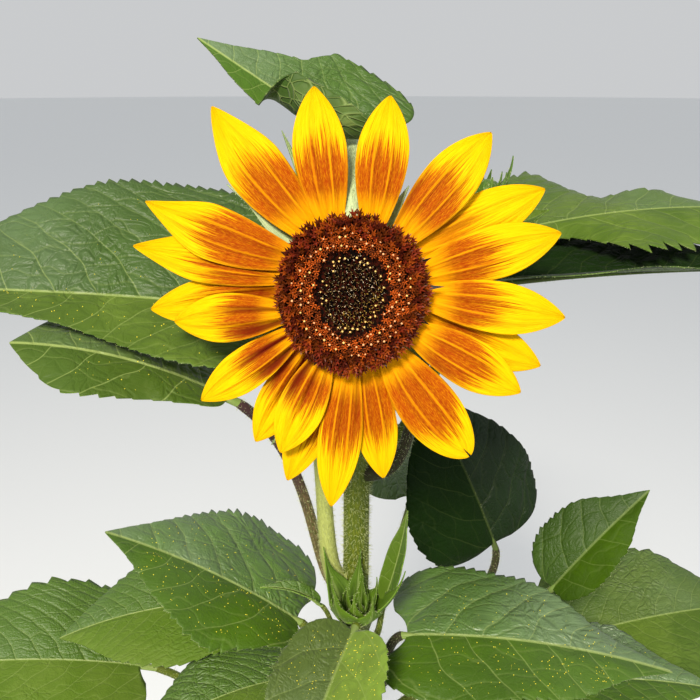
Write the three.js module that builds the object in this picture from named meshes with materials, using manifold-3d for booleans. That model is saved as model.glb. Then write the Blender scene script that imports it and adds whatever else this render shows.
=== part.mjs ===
// Sunflower plant: one rooted stem with a single open bloom in yellow and orange-red,
// large toothed leaves on long stalks, a young side shoot and a closed side bud.
// Millimetres, +Z up. The origin is the middle of the flat cut under the stem at ground level.
// The bloom faces -Y and a little upward.
import * as THREE from 'three';
import { mergeVertices } from 'three/addons/utils/BufferGeometryUtils.js';
import Module from 'manifold-3d';

const wasm = await Module();
wasm.setup();

// Driving sizes
const GAP = 0.3;                       // clearance between a piece and what carries it
const HEAD_CENTRE = [0, -38, 1001];    // middle of the disc's face
const HEAD_TILT = 17;                  // degrees that the bloom looks up from level
const STEM_GROUND_RADIUS = 10.5;
const STEM_TOP_RADIUS = 5.4;
const STEM_FLARE = 3.5;                // extra radius at the very foot
const STEM_FLARE_HEIGHT = 26;
const STEM_STRAIGHT_TOP = 950;         // the neck starts here
const STEM_LEAN = [2.2, 8];            // how far the stem has leant over at the neck
const STEM_SIDES = 14;
const CUP_RADIUS = 23.5;               // green cup that carries petals and bracts
const CUP_FRONT = -4.5;                // places along the head's axis, from the disc's face
const CUP_SIDE_BACK = -13;
const CUP_BACK = -25;
const DISC_RADIUS = 26;
const DISC_BACK = CUP_FRONT + GAP;
const PETAL_THICKNESS = 0.7;
const PETAL_FIRST_LAYER = -5.8;
const PETAL_LAYER_STEP = 2;
const PETAL_CLAW = 0.42;               // width where it leaves the cup, of the full width
const PETAL_WIDEST = 0.55;             // share of the length where it is widest
const PETAL_STEPS = 6;
const PETAL_COLUMNS = 4;
const BRACT_THICKNESS = 0.8;
const BRACT_STEPS = 4;
const BRACT_COLUMNS = 2;
const LEAF_THICKNESS_SHARE = 0.0105;   // of the leaf's length
const LEAF_THINNEST = 0.8;
const LEAF_TOOTH = 0.035;              // depth of a tooth, of the half width
const LEAF_WIDEST = 0.34;
const LEAF_BEND = [8, -14];            // fold at the rib and curl towards the margin, degrees
const LEAF_ARCH_SHARE = 0.05;          // rise of the rib between base and tip, of the length
const LEAF_RIPPLE = 0.05;              // wave of the margin, of the half width
const LEAF_LOBE = 0.45;                // how far the base's lobes reach back, of the half width
const LEAF_TURN = [0.35, 0.3];         // where a side's bend starts to change, and over what length
const LEAF_PINCH = 0.3;                // how much narrower the drawn-out tip is
const LEAF_STEPS = 10;
const LEAF_COLUMNS = 4;
const LEAF_CROWDING = 1.25;            // rings crowd towards the base
const BLADE_END = 0.985;               // the last ring, just short of the point
const STALK_RADIUS = 2.4;
const STALK_FOOT_SWELL = 0.35;
const STALK_STEPS = 4;

// Colours
const COLOURS = {
  stem: '#8a9a48',
  leaf: '#4a7a34',
  petal: '#f2b01a',
  disc: '#4a1c10',
  cup: '#5e8a3c',
};

const vec = (x, y, z) => new THREE.Vector3(x, y, z);
const at = (list) => vec(list[0], list[1], list[2]);
const rad = THREE.MathUtils.degToRad;
const smooth = (x) => THREE.MathUtils.smoothstep(x, 0, 1);
const UP = vec(0, 0, 1);

// Frame of the bloom: right, up and out of its face
const headRight = vec(1, 0, 0);
const headOut = vec(0, -Math.cos(rad(HEAD_TILT)), Math.sin(rad(HEAD_TILT)));
const headUp = headOut.clone().cross(headRight);

function onHead(right, up, out) {
  return at(HEAD_CENTRE)
    .addScaledVector(headRight, right)
    .addScaledVector(headUp, up)
    .addScaledVector(headOut, out);
}

function aroundHead(angle, reach, out) {
  return onHead(reach * Math.cos(rad(angle)), reach * Math.sin(rad(angle)), out);
}

// A closed body through a row of rings with the same number of points
function loft(rings) {
  const size = rings[0].length;
  const positions = rings.flatMap((ring) => ring.flatMap((p) => [p.x, p.y, p.z]));
  const faces = [];
  for (let k = 0; k < rings.length - 1; k += 1) {
    for (let i = 0; i < size; i += 1) {
      const j = (i + 1) % size;
      const here = k * size;
      const next = here + size;
      faces.push(here + i, here + j, next + i);
      faces.push(here + j, next + j, next + i);
    }
  }
  const last = (rings.length - 1) * size;
  for (let i = 1; i < size - 1; i += 1) {
    faces.push(0, i + 1, i);
    faces.push(last, last + i, last + i + 1);
  }
  const geometry = new THREE.BufferGeometry();
  geometry.setAttribute('position', new THREE.Float32BufferAttribute(positions, 3));
  geometry.setIndex(faces);
  return geometry;
}

// Side and top directions square to the way a limb runs
function crossFrame(forward, face) {
  const side = forward.clone().cross(face).normalize();
  const top = side.clone().cross(forward).normalize();
  return { side, top };
}

function roundRing(centre, frame, radius, sides) {
  const ring = [];
  for (let i = 0; i < sides; i += 1) {
    const angle = Math.PI * (1 - (2 * i + 1) / sides);
    ring.push(centre.clone()
      .addScaledVector(frame.side, radius * Math.cos(angle))
      .addScaledVector(frame.top, radius * Math.sin(angle)));
  }
  return ring;
}

// A round limb along a curve
function limbRings(curve, radiusAt, face, steps, sides) {
  const rings = [];
  for (let k = 0; k <= steps; k += 1) {
    const u = k / steps;
    const frame = crossFrame(curve.getTangent(u), face);
    rings.push(roundRing(curve.getPoint(u), frame, radiusAt(u), sides));
  }
  return rings;
}

// Main stem
function stemCentre(height) {
  const rise = Math.min(1, height / STEM_STRAIGHT_TOP);
  return vec(STEM_LEAN[0] * smooth(rise), STEM_LEAN[1] * rise * rise, height);
}

function stemRadius(height) {
  const rise = Math.min(1, height / STEM_STRAIGHT_TOP);
  const taper = THREE.MathUtils.lerp(STEM_GROUND_RADIUS, STEM_TOP_RADIUS, rise ** 0.9);
  return taper + STEM_FLARE * Math.exp(-height / STEM_FLARE_HEIGHT);
}

function stemGeometry() {
  const side = headRight.clone();
  const upright = { side, top: vec(0, -1, 0) };
  const rings = [];
  const heights = [0, 10, 25, 50, 100, 180, 280, 380, 480, 580, 680, 760, 840, 900, STEM_STRAIGHT_TOP];
  for (const height of heights) {
    rings.push(roundRing(stemCentre(height), upright, stemRadius(height), STEM_SIDES));
  }
  const neckEnd = onHead(0, 0, CUP_BACK - GAP);
  const neck = new THREE.CubicBezierCurve3(
    stemCentre(STEM_STRAIGHT_TOP),
    stemCentre(STEM_STRAIGHT_TOP).addScaledVector(UP, 26),
    neckEnd.clone().addScaledVector(headOut, -16),
    neckEnd,
  );
  const neckSteps = 8;
  for (let k = 1; k <= neckSteps; k += 1) {
    const u = k / neckSteps;
    const forward = neck.getTangent(u);
    const frame = { side, top: side.clone().cross(forward).normalize() };
    const radius = STEM_TOP_RADIUS + 0.9 * u * u;
    rings.push(roundRing(neck.getPoint(u), frame, radius, STEM_SIDES));
  }
  return loft(rings);
}

// Where a stalk leaves the main stem: a flat seat just clear of the bark
function seatOnStem(height, azimuth) {
  const away = vec(Math.cos(rad(azimuth)), Math.sin(rad(azimuth)), 0);
  const seat = stemCentre(height).addScaledVector(away, stemRadius(height) + GAP);
  return { seat, away, up: UP };
}

// Where a stalk leaves a side limb
function seatOnLimb(limb, u, azimuth) {
  const axis = limb.curve.getTangent(u);
  const flat = vec(Math.cos(rad(azimuth)), Math.sin(rad(azimuth)), 0);
  const away = flat.addScaledVector(axis, -flat.dot(axis)).normalize();
  const seat = limb.curve.getPoint(u).addScaledVector(away, limb.radiusAt(u) + GAP);
  return { seat, away, up: axis };
}

// A side limb that springs from the main stem
function sideLimb({ height, azimuth, end, endWay, radius, endRadius }) {
  const { seat, away } = seatOnStem(height, azimuth);
  const finish = at(end);
  const span = seat.distanceTo(finish);
  const curve = new THREE.CubicBezierCurve3(
    seat,
    seat.clone().addScaledVector(away, span * 0.3),
    finish.clone().addScaledVector(at(endWay).normalize(), -span * 0.45),
    finish,
  );
  const radiusAt = (u) => THREE.MathUtils.lerp(radius, endRadius, u);
  return { curve, radiusAt };
}

// Outline of a blade: half width, from 0 to 1, at the share s of its length
function leafOutline(s, widest, pinch) {
  const tipPower = 0.95;
  const basePower = tipPower * widest / (1 - widest);
  const drawnOut = 1 - pinch * smooth((s - 0.6) / 0.32);
  return drawnOut * (s / widest) ** basePower * ((1 - s) / (1 - widest)) ** tipPower;
}

function petalOutline(s, widest, claw, pinch) {
  if (s < widest) {
    return claw + (1 - claw) * Math.sin(Math.PI / 2 * s / widest);
  }
  const past = (s - widest) / (1 - widest);
  return (1 - pinch * smooth(past)) * (1 - past * past) ** 0.85;
}

function bractOutline(s) {
  return (0.75 + 0.6 * s) * (1 - s) ** 0.9;
}

function leafyBractOutline(s) {
  const widest = 0.38;
  const rise = Math.sin(Math.PI / 2 * Math.min(1, s / widest));
  const fall = (1 - Math.max(0, s - widest) / (1 - widest)) ** 0.9;
  return (0.4 + 0.6 * rise) * fall;
}

// How one side of a blade leaves the rib: its fold and curl in degrees, and its share of the
// width, near the base and near the tip
function sideBend([fold, curl, tipCurl = curl], share = 1, tipShare = share) {
  return { fold, curl, tipCurl, share, tipShare };
}

// One ring of a thin blade. Each side leaves the rib at its fold and curls from there on.
function bladeRing(centre, frame, half, blade, s) {
  const top = [];
  const under = [];
  const columns = blade.columns;
  for (let i = 0; i <= columns; i += 1) {
    const t = 2 * i / columns - 1;
    const share = Math.abs(t);
    const sign = t < 0 ? -1 : 1;
    const bend = t < 0 ? blade.left : blade.right;
    const towardsTip = smooth((s - blade.turn[0]) / blade.turn[1]);
    const fold = rad(bend.fold);
    const curl = rad(THREE.MathUtils.lerp(bend.curl, bend.tipCurl, towardsTip)) || 1e-6;
    const slope = fold + curl * share;
    const width = half * THREE.MathUtils.lerp(bend.share, bend.tipShare, towardsTip);
    const out = width * (Math.sin(slope) - Math.sin(fold)) / curl;
    const lift = width * (Math.cos(fold) - Math.cos(slope)) / curl;
    const ripple = blade.ripple * half * share * share * Math.sin(rad(blade.ripplePhase) + sign + 15 * s);
    const back = -blade.lobe * half * share * share * (1 - s) ** 4;
    const normal = frame.top.clone().multiplyScalar(Math.cos(slope * share))
      .addScaledVector(frame.side, -sign * Math.sin(slope * share));
    const point = centre.clone()
      .addScaledVector(frame.side, sign * out)
      .addScaledVector(frame.top, lift + ripple)
      .addScaledVector(frame.forward, back);
    const rib = share < 0.01 ? blade.ribAt(s) : 0;
    top.push(point.clone().addScaledVector(normal, blade.thickness / 2));
    under.push(point.clone().addScaledVector(normal, -blade.thickness / 2 - rib));
  }
  return [...top, ...under.reverse()];
}

// Rings of a blade from its base to its tip
function bladeRings(blade) {
  const rings = [];
  const chord = blade.tip.clone().sub(blade.base);
  const { side, top } = crossFrame(chord.clone().normalize(), blade.face);
  const spine = (s) => blade.base.clone()
    .addScaledVector(chord, s)
    .addScaledVector(top, 4 * blade.arch * s * (1 - s))
    .addScaledVector(side, 4 * blade.sway * s * (1 - s));
  const wayAt = (s) => chord.clone()
    .addScaledVector(top, 4 * blade.arch * (1 - 2 * s))
    .addScaledVector(side, 4 * blade.sway * (1 - 2 * s))
    .normalize();
  for (let k = blade.firstStep; k <= blade.steps; k += 1) {
    const s = (k / blade.steps) ** blade.crowding * BLADE_END;
    const forward = wayAt(s);
    const frame = { ...crossFrame(forward, blade.face), forward };
    const tooth = k % 2 === 1 ? 1 + blade.tooth : 1 - blade.tooth;
    const half = Math.max(blade.width / 2 * blade.outline(s) * tooth, blade.thickness * 0.6);
    rings.push(bladeRing(spine(s), frame, half, blade, s));
  }
  return { rings, startWay: wayAt(0) };
}

// A leaf: its stalk and its blade in one body
function leafGeometry(leaf) {
  const base = at(leaf.base);
  const tip = at(leaf.tip);
  const face = at(leaf.face).normalize();
  const length = base.distanceTo(tip);
  const stalkRadius = leaf.stalk ?? STALK_RADIUS;
  const bend = leaf.bend ?? LEAF_BEND;
  const blade = {
    base,
    tip,
    face,
    width: leaf.width,
    arch: leaf.arch ?? length * LEAF_ARCH_SHARE,
    sway: leaf.sway ?? 0,
    left: sideBend(bend, leaf.shares?.[0], leaf.tipShares?.[0]),
    right: sideBend(leaf.rightBend ?? bend, leaf.shares?.[1], leaf.tipShares?.[1]),
    turn: leaf.turn ?? LEAF_TURN,
    ripple: leaf.ripple ?? LEAF_RIPPLE,
    ripplePhase: leaf.ripplePhase ?? 0,
    lobe: leaf.lobe ?? LEAF_LOBE,
    thickness: Math.max(LEAF_THINNEST, length * LEAF_THICKNESS_SHARE),
    columns: leaf.columns ?? LEAF_COLUMNS,
    steps: leaf.steps ?? LEAF_STEPS,
    firstStep: 1,
    crowding: LEAF_CROWDING,
    tooth: leaf.tooth ?? LEAF_TOOTH,
    outline: (s) => leafOutline(s, leaf.widest ?? LEAF_WIDEST, leaf.pinch ?? LEAF_PINCH),
    ribAt: (s) => stalkRadius * 0.75 * (1 - s) ** 1.5,
  };
  const { rings, startWay } = bladeRings(blade);
  const { seat, away, up } = leaf.from;
  const span = seat.distanceTo(base);
  const reach = leaf.reach ?? [0.35, 0.4];
  const stalk = new THREE.CubicBezierCurve3(
    seat,
    seat.clone().addScaledVector(away, span * reach[0]),
    base.clone().addScaledVector(startWay, -span * reach[1]),
    base,
  );
  const sides = 2 * (blade.columns + 1);
  const stalkRings = [];
  const stalkSteps = leaf.stalkSteps ?? STALK_STEPS;
  for (let k = 0; k <= stalkSteps; k += 1) {
    const u = k / stalkSteps;
    const facing = up.clone().lerp(face, smooth(u)).normalize();
    const frame = crossFrame(stalk.getTangent(u), facing);
    const radius = stalkRadius * (1 + STALK_FOOT_SWELL * (1 - u) ** 3 - 0.15 * u);
    stalkRings.push(roundRing(stalk.getPoint(u), frame, radius, sides));
  }
  return loft([...stalkRings, ...rings]);
}

// A blade without a stalk, such as a petal or a bract
function plainBlade(shape) {
  const { base, tip, face, width, arch, sway = 0, bend, outline, thickness, steps, columns } = shape;
  const blade = {
    base,
    tip,
    face,
    width,
    arch,
    sway,
    left: sideBend(bend),
    right: sideBend(bend),
    turn: LEAF_TURN,
    ripple: 0,
    ripplePhase: 0,
    lobe: 0,
    thickness,
    columns,
    steps,
    firstStep: 0,
    crowding: 1,
    tooth: 0,
    outline,
    ribAt: () => 0,
  };
  return loft(bladeRings(blade).rings);
}

// Joining closed bodies into one
function toSolid(geometry) {
  const bare = new THREE.BufferGeometry();
  bare.setAttribute('position', geometry.getAttribute('position').clone());
  if (geometry.getIndex()) {
    bare.setIndex(geometry.getIndex().clone());
  }
  const merged = mergeVertices(bare, 1e-4);
  const mesh = new wasm.Mesh({
    numProp: 3,
    vertProperties: new Float32Array(merged.getAttribute('position').array),
    triVerts: new Uint32Array(merged.getIndex().array),
  });
  return new wasm.Manifold(mesh);
}

function fuse(geometries) {
  let solid = toSolid(geometries[0]);
  for (const geometry of geometries.slice(1)) {
    solid = solid.add(toSolid(geometry));
  }
  const mesh = solid.getMesh();
  const fused = new THREE.BufferGeometry();
  fused.setAttribute('position', new THREE.Float32BufferAttribute(mesh.vertProperties, 3));
  fused.setIndex([...mesh.triVerts]);
  return fused;
}

// A turned body about the head's axis from a profile of [radius, place along the axis]
function turnedOnHead(profile, segments) {
  const points = profile.map(([radius, out]) => new THREE.Vector2(radius, out));
  const geometry = new THREE.LatheGeometry(points, segments);
  const basis = new THREE.Matrix4().makeBasis(headRight, headOut, headUp.clone().negate());
  basis.setPosition(at(HEAD_CENTRE));
  geometry.applyMatrix4(basis);
  geometry.deleteAttribute('normal');
  geometry.deleteAttribute('uv');
  return mergeVertices(geometry, 1e-4);
}

function discGeometry() {
  return turnedOnHead([
    [0, DISC_BACK],
    [DISC_RADIUS - 1.5, DISC_BACK],
    [DISC_RADIUS, DISC_BACK + 1.6],
    [DISC_RADIUS - 0.6, 0.6],
    [DISC_RADIUS - 4, 2.6],
    [DISC_RADIUS - 10, 2.2],
    [DISC_RADIUS - 15, 0.6],
    [0, -0.2],
  ], 36);
}

// Green cup behind the disc, with a whorl of pointed bracts
const BRACT_COUNT = 14;
const BRACT_FIRST_ANGLE = 62;
const BRACT_REACHES = [42, 44, 62, 57, 50];
const TOP_LEAF_PLACE = 1;              // the place in the whorl that the top leaf takes

function cupGeometry() {
  const cup = turnedOnHead([
    [0, CUP_BACK],
    [6.6, CUP_BACK],
    [10, CUP_BACK + 3],
    [17, CUP_SIDE_BACK - 3.5],
    [CUP_RADIUS, CUP_SIDE_BACK],
    [CUP_RADIUS, CUP_FRONT],
    [0, CUP_FRONT],
  ], 30);
  const bracts = [];
  for (let k = 0; k < BRACT_COUNT; k += 1) {
    if (k === TOP_LEAF_PLACE) {
      continue;
    }
    const angle = BRACT_FIRST_ANGLE + k * 360 / BRACT_COUNT;
    const reach = BRACT_REACHES[k % BRACT_REACHES.length];
    bracts.push(plainBlade({
      base: aroundHead(angle, CUP_RADIUS - 6, CUP_SIDE_BACK - 1.2),
      tip: aroundHead(angle, reach, CUP_SIDE_BACK + 0.5),
      face: headOut,
      width: 13,
      arch: -1.6,
      bend: [6, 10],
      outline: bractOutline,
      thickness: BRACT_THICKNESS,
      steps: BRACT_STEPS,
      columns: BRACT_COLUMNS,
    }));
  }
  return fuse([cup, ...bracts]);
}

// Ray petals, clockwise from the upper left. Angles are degrees on the disc, from its right
// towards its top; reach is the tip's distance from the middle; layer 0 lies in front.
const PETALS = [
  { from: 122, to: 127, reach: 79.5, width: 20.5, layer: 1, sway: -1.6, pinch: 0.25 },
  { from: 107, to: 100.5, reach: 70.6, width: 18.5, layer: 0, sway: -0.8 },
  { from: 72, to: 79, reach: 67.6, width: 18, layer: 0 },
  { from: 48, to: 49, reach: 71.8, width: 18.5, layer: 0 },
  { from: 35, to: 28.3, reach: 76.2, width: 18, layer: 2 },
  { from: 15.6, to: 16, reach: 75.2, width: 18.5, layer: 1 },
  { from: -2, to: -6.5, reach: 74, width: 18, layer: 0 },
  { from: -18, to: -21, reach: 71.5, width: 17, layer: 2 },
  { from: -32, to: -30.4, reach: 68, width: 17.5, layer: 0 },
  { from: -57, to: -53.9, reach: 71, width: 21, layer: 1, sway: 1.2 },
  { from: -78, to: -80.3, reach: 67, width: 15.5, layer: 2 },
  { from: -92, to: -95.6, reach: 76, width: 15.5, layer: 1 },
  { from: -102, to: -109.1, reach: 71.5, width: 16, layer: 3 },
  { from: -114, to: -114.2, reach: 61, width: 16.5, layer: 0 },
  { from: -128, to: -123.1, reach: 63, width: 15.5, layer: 2 },
  { from: -144, to: -144.7, reach: 65, width: 15, layer: 1 },
  { from: -163, to: -171, reach: 62, width: 17, layer: 0 },
  { from: -182, to: -175.5, reach: 71, width: 16.5, layer: 2 },
  { from: -196, to: -192.2, reach: 77.5, width: 16.5, layer: 1, pinch: 0.3 },
  { from: -210, to: -203.9, reach: 77, width: 19, layer: 0, sway: -1.5, pinch: 0.4 },
];

function petalGeometry(petal) {
  const depth = PETAL_FIRST_LAYER - petal.layer * PETAL_LAYER_STEP;
  const turn = Math.abs(Math.sin(rad(petal.to - petal.from))) * 1.6;
  const cornerRoom = turn * petal.width * PETAL_CLAW / 2;
  return plainBlade({
    base: aroundHead(petal.from, CUP_RADIUS + GAP + 0.1 + cornerRoom, depth),
    tip: aroundHead(petal.to, petal.reach, depth + 1.5 - petal.layer * 0.6),
    face: headOut,
    width: petal.width,
    arch: 1.6,
    sway: petal.sway ?? 0,
    bend: [2, -16],
    outline: (s) => petalOutline(s, PETAL_WIDEST, PETAL_CLAW, petal.pinch ?? 0),
    thickness: PETAL_THICKNESS,
    steps: PETAL_STEPS,
    columns: PETAL_COLUMNS,
  });
}

// Side limbs
const budBranch = sideLimb({
  height: 896, azimuth: 60, end: [55, 27, 1018], endWay: [0.1, 0, 1], radius: 3.2, endRadius: 2.4,
});
const youngShoot = sideLimb({
  height: 700, azimuth: -84, end: [2.5, -15, 838], endWay: [0, 0.05, 1], radius: 4.6, endRadius: 3.8,
});

// A closed bud: a green knob in a ring of narrow pointed bracts
function budGeometry({ limb, radius, bracts, length, spread, width, turn, outline }) {
  const axis = limb.curve.getTangent(1);
  const foot = limb.curve.getPoint(1).addScaledVector(axis, GAP);
  const { side, top } = crossFrame(axis, vec(0, -1, 0));
  const basis = new THREE.Matrix4().makeBasis(side, axis, top);
  basis.setPosition(foot);
  const knob = new THREE.LatheGeometry([
    new THREE.Vector2(0, 0),
    new THREE.Vector2(limb.radiusAt(1) + 0.4, 0),
    new THREE.Vector2(radius, radius * 0.8),
    new THREE.Vector2(radius * 0.85, radius * 1.5),
    new THREE.Vector2(0, radius * 1.8),
  ], 10);
  knob.applyMatrix4(basis);
  const parts = [knob];
  for (let k = 0; k < bracts; k += 1) {
    const angle = rad(turn + k * 360 / bracts);
    const away = vec(0, 0, 0)
      .addScaledVector(side, Math.cos(angle))
      .addScaledVector(top, Math.sin(angle));
    const share = 0.8 + 0.3 * Math.sin(2.4 * k);
    parts.push(plainBlade({
      base: foot.clone().addScaledVector(axis, radius * 0.35).addScaledVector(away, radius * 0.45),
      tip: foot.clone().addScaledVector(axis, length * share)
        .addScaledVector(away, radius * 0.6 + spread * share),
      face: axis.clone().multiplyScalar(0.4).addScaledVector(away, -1).normalize(),
      width,
      arch: -2,
      bend: [10, 20],
      outline,
      thickness: BRACT_THICKNESS,
      steps: BRACT_STEPS,
      columns: BRACT_COLUMNS,
    }));
  }
  return fuse(parts);
}

// Leaves that the bloom's stem carries, with the stalk's seat, the blade's base and tip,
// the way its upper face looks, and its width
const TOP_LEAF_SEAT = {
  seat: onHead(0, CUP_RADIUS + GAP + 0.1, -9.2),
  away: headUp.clone(),
  up: headOut.clone(),
};

const LEAVES = {
  leaf_left_big: {
    from: seatOnStem(846, 190), base: [-42, 14, 979], tip: [-203, 12, 988], face: [0, -0.6, 0.8],
    width: 96, shares: [0.95, 1.3], tipShares: [0.46, 1.3], turn: [0.08, 0.4], stalk: 3.6, arch: 4,
    bend: [23, -8], rightBend: [8, -8], widest: 0.26, reach: [0.12, 0.3],
  },
  leaf_left_lower: {
    from: seatOnStem(836, 150), base: [-52, -4, 947], tip: [-134, -9, 972], face: [0.36, -0.35, 0.87],
    width: 60, shares: [0.5, 1], tipShares: [0.95, 1], turn: [0.3, 0.45], pinch: 0, stalk: 2.6, arch: 7,
    bend: [4, -16], rightBend: [0, -10], widest: 0.42, reach: [0.18, 0.4],
  },
  leaf_right_upper: {
    from: seatOnStem(930, 20), base: [62, 20, 1009], tip: [170, 24, 1018], face: [0.05, -0.28, 0.96],
    width: 70, shares: [1.1, 0.68], arch: 5, bend: [4, -12], ripple: 0.08, reach: [0.3, 0.35],
  },
  leaf_right_lower: {
    from: seatOnStem(905, -15), base: [56, 1, 994], tip: [172, -6, 1000], face: [0, 0, 1],
    width: 56, arch: 2, bend: [20, 0], rightBend: [17, 0], ripple: 0.03, reach: [0.3, 0.4],
  },
  leaf_top: {
    from: TOP_LEAF_SEAT, base: [-5, 14, 1049], tip: [-60, 32, 1083], face: [-0.3, -0.5, 0.8],
    width: 50, shares: [0.86, 1.12], tipShares: [0.6, 0.86], turn: [0.3, 0.16], stalk: 2.6, arch: 0,
    bend: [10, 140, 0], rightBend: [2, -6], widest: 0.22, ripple: 0.03, reach: [0.4, 0.3], lobe: 1.3,
    columns: 8,
  },
  leaf_back_upper: {
    from: seatOnStem(918, 95), base: [-2, 62, 958], tip: [-24, 166, 946], face: [0, 0.25, 0.97],
    width: 82, arch: 14,
  },
  leaf_back_lower: {
    from: seatOnStem(812, 62), base: [34, 66, 852], tip: [70, 168, 838], face: [0.05, 0.2, 0.97],
    width: 88, arch: 14,
  },
  leaf_shaded: {
    from: seatOnStem(772, 35), base: [78, 52, 832], tip: [37, 73, 917], face: [0.3, -0.85, 0.42],
    width: 82, shares: [1.02, 0.92], arch: 5, reach: [0.5, 0.25], widest: 0.3, lobe: 0.1,
  },
  leaf_shaded_small: {
    from: seatOnStem(742, 42), base: [102, 23, 826], tip: [148, 33, 878], face: [-0.45, -0.6, 0.66],
    width: 48, shares: [1, 0.65], arch: 4, reach: [0.55, 0.3], lobe: 0.2,
  },
  leaf_quilted: {
    from: seatOnStem(706, -22), base: [72, -4, 786], tip: [172, -16, 800], face: [0, -0.1, 1],
    width: 70, arch: 8, ripple: 0.08,
  },
  leaf_far_right: {
    from: seatOnStem(680, 25), base: [118, 44, 772], tip: [240, 66, 778], face: [0, -0.3, 0.95],
    width: 96, arch: 8, reach: [0.4, 0.4],
  },
  leaf_pale_left: {
    from: seatOnStem(730, 155), base: [-60, 30, 812], tip: [-150, 16, 800], face: [0, -0.25, 0.96],
    width: 66, arch: 8,
  },
  leaf_pale_far_left: {
    from: seatOnStem(664, 178), base: [-112, 22, 776], tip: [-232, 4, 790], face: [0.05, -0.3, 0.95],
    width: 92, arch: 9,
  },
  leaf_pale_front: {
    from: seatOnStem(745, -150), base: [-28, -6, 797], tip: [-100, -38, 788], face: [0, -0.05, 1],
    width: 58, arch: 8,
  },
};

// Leaves of the young shoot in front of the stem, and the small one below the side bud
const SHOOT_LEAVES = {
  leaf_low_left: {
    from: seatOnLimb(youngShoot, 0.86, 175), base: [-25, -8, 834], tip: [-110, -4, 880],
    face: [0.46, -0.17, 0.87], width: 80, shares: [0.6, 1.12], arch: 5, bend: [6, -16], widest: 0.29,
    lobe: 0.26,
  },
  leaf_low_right: {
    from: seatOnLimb(youngShoot, 0.82, -5), base: [25, -12, 829], tip: [139, -34, 829],
    face: [-0.03, -0.12, 0.99], width: 80, shares: [1.08, 0.82], arch: 7, bend: [4, -14], widest: 0.27,
    lobe: 0.6,
  },
  leaf_front: {
    from: seatOnLimb(youngShoot, 0.92, -95), base: [1, -28, 847], tip: [-26, -93, 814],
    face: [-0.05, -0.1, 1], width: 48, arch: 5, bend: [14, 6], lobe: 0.2,
  },
  young_leaf_upright: {
    from: seatOnLimb(youngShoot, 0.94, 20), base: [15, -12, 849], tip: [24, -11, 896],
    face: [-0.5, -0.85, 0.2], width: 12, stalk: 1.5, arch: -3, bend: [30, 20], steps: 7, stalkSteps: 3,
    tooth: 0,
  },
  young_leaf_left: {
    from: seatOnLimb(youngShoot, 0.95, 215), base: [-14, -22, 856], tip: [-39, -25, 867],
    face: [0.2, 0, 1], width: 9, stalk: 1.2, arch: 3, bend: [20, 20], steps: 7, stalkSteps: 3, tooth: 0,
  },
  bud_leaf: {
    from: seatOnLimb(budBranch, 0.96, -60), base: [62, 9, 1015], tip: [75, 2, 1022],
    face: [-0.3, -0.6, 0.7], width: 9, stalk: 1.1, arch: -1.5, bend: [20, 20], steps: 6, stalkSteps: 3,
    tooth: 0,
  },
};

// Leaves lower down the stem: each turns on by the golden angle
const LOWER_LEAF_COUNT = 8;
const LOWER_LEAF_FIRST_HEIGHT = 196;
const LOWER_LEAF_RISE = 59;
const LOWER_LEAF_FIRST_AZIMUTH = 40;
const LOWER_LEAF_WIDTH = 116;
const GOLDEN_ANGLE = 137.5;

function lowerLeaf(k) {
  const height = LOWER_LEAF_FIRST_HEIGHT + k * LOWER_LEAF_RISE;
  const azimuth = LOWER_LEAF_FIRST_AZIMUTH + k * GOLDEN_ANGLE;
  const away = vec(Math.cos(rad(azimuth)), Math.sin(rad(azimuth)), 0);
  const stalkReach = 86 + 3 * k;
  const bladeReach = 146 + 7 * (k % 3);
  const stalkRise = 46;
  const droop = 38 - 3 * k;
  const base = stemCentre(height).addScaledVector(away, stalkReach).addScaledVector(UP, stalkRise);
  const tip = base.clone().addScaledVector(away, bladeReach).addScaledVector(UP, -droop);
  return {
    from: seatOnStem(height, azimuth),
    base: base.toArray(),
    tip: tip.toArray(),
    face: away.clone().multiplyScalar(0.3).add(UP).toArray(),
    width: LOWER_LEAF_WIDTH,
    stalk: 3.1,
    arch: 17,
    bend: [8, -18],
    ripplePhase: 70 * k,
  };
}

// Assembly
const plant = new THREE.Group();

function addPart(name, geometry, colour, roughness) {
  const material = new THREE.MeshStandardMaterial({
    color: COLOURS[colour],
    roughness,
    metalness: 0,
    flatShading: true,
  });
  const mesh = new THREE.Mesh(geometry, material);
  mesh.name = name;
  plant.add(mesh);
}

addPart('main_stem', stemGeometry(), 'stem', 0.7);
addPart('bud_branch', loft(limbRings(budBranch.curve, budBranch.radiusAt, UP, 9, 8)), 'stem', 0.7);
addPart(
  'young_shoot',
  loft(limbRings(youngShoot.curve, youngShoot.radiusAt, headRight, 8, 10)),
  'stem',
  0.7,
);
addPart('cup', cupGeometry(), 'cup', 0.7);
addPart('disc', discGeometry(), 'disc', 0.9);
PETALS.forEach((petal, index) => {
  addPart(`petal_${String(index + 1).padStart(2, '0')}`, petalGeometry(petal), 'petal', 0.5);
});
for (const [name, leaf] of Object.entries({ ...LEAVES, ...SHOOT_LEAVES })) {
  addPart(name, leafGeometry(leaf), 'leaf', 0.55);
}
for (let k = 0; k < LOWER_LEAF_COUNT; k += 1) {
  addPart(`lower_leaf_${k + 1}`, leafGeometry(lowerLeaf(k)), 'leaf', 0.6);
}
addPart('side_bud', budGeometry({
  limb: budBranch, radius: 6.5, bracts: 7, length: 22, spread: 4.5, width: 7, turn: 195,
  outline: bractOutline,
}), 'cup', 0.7);
addPart('shoot_bud', budGeometry({
  limb: youngShoot, radius: 6, bracts: 6, length: 35, spread: 10, width: 15, turn: 68,
  outline: leafyBractOutline,
}), 'cup', 0.7);

export default plant;
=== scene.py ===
import math
from types import SimpleNamespace
from typing import NamedTuple

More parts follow.
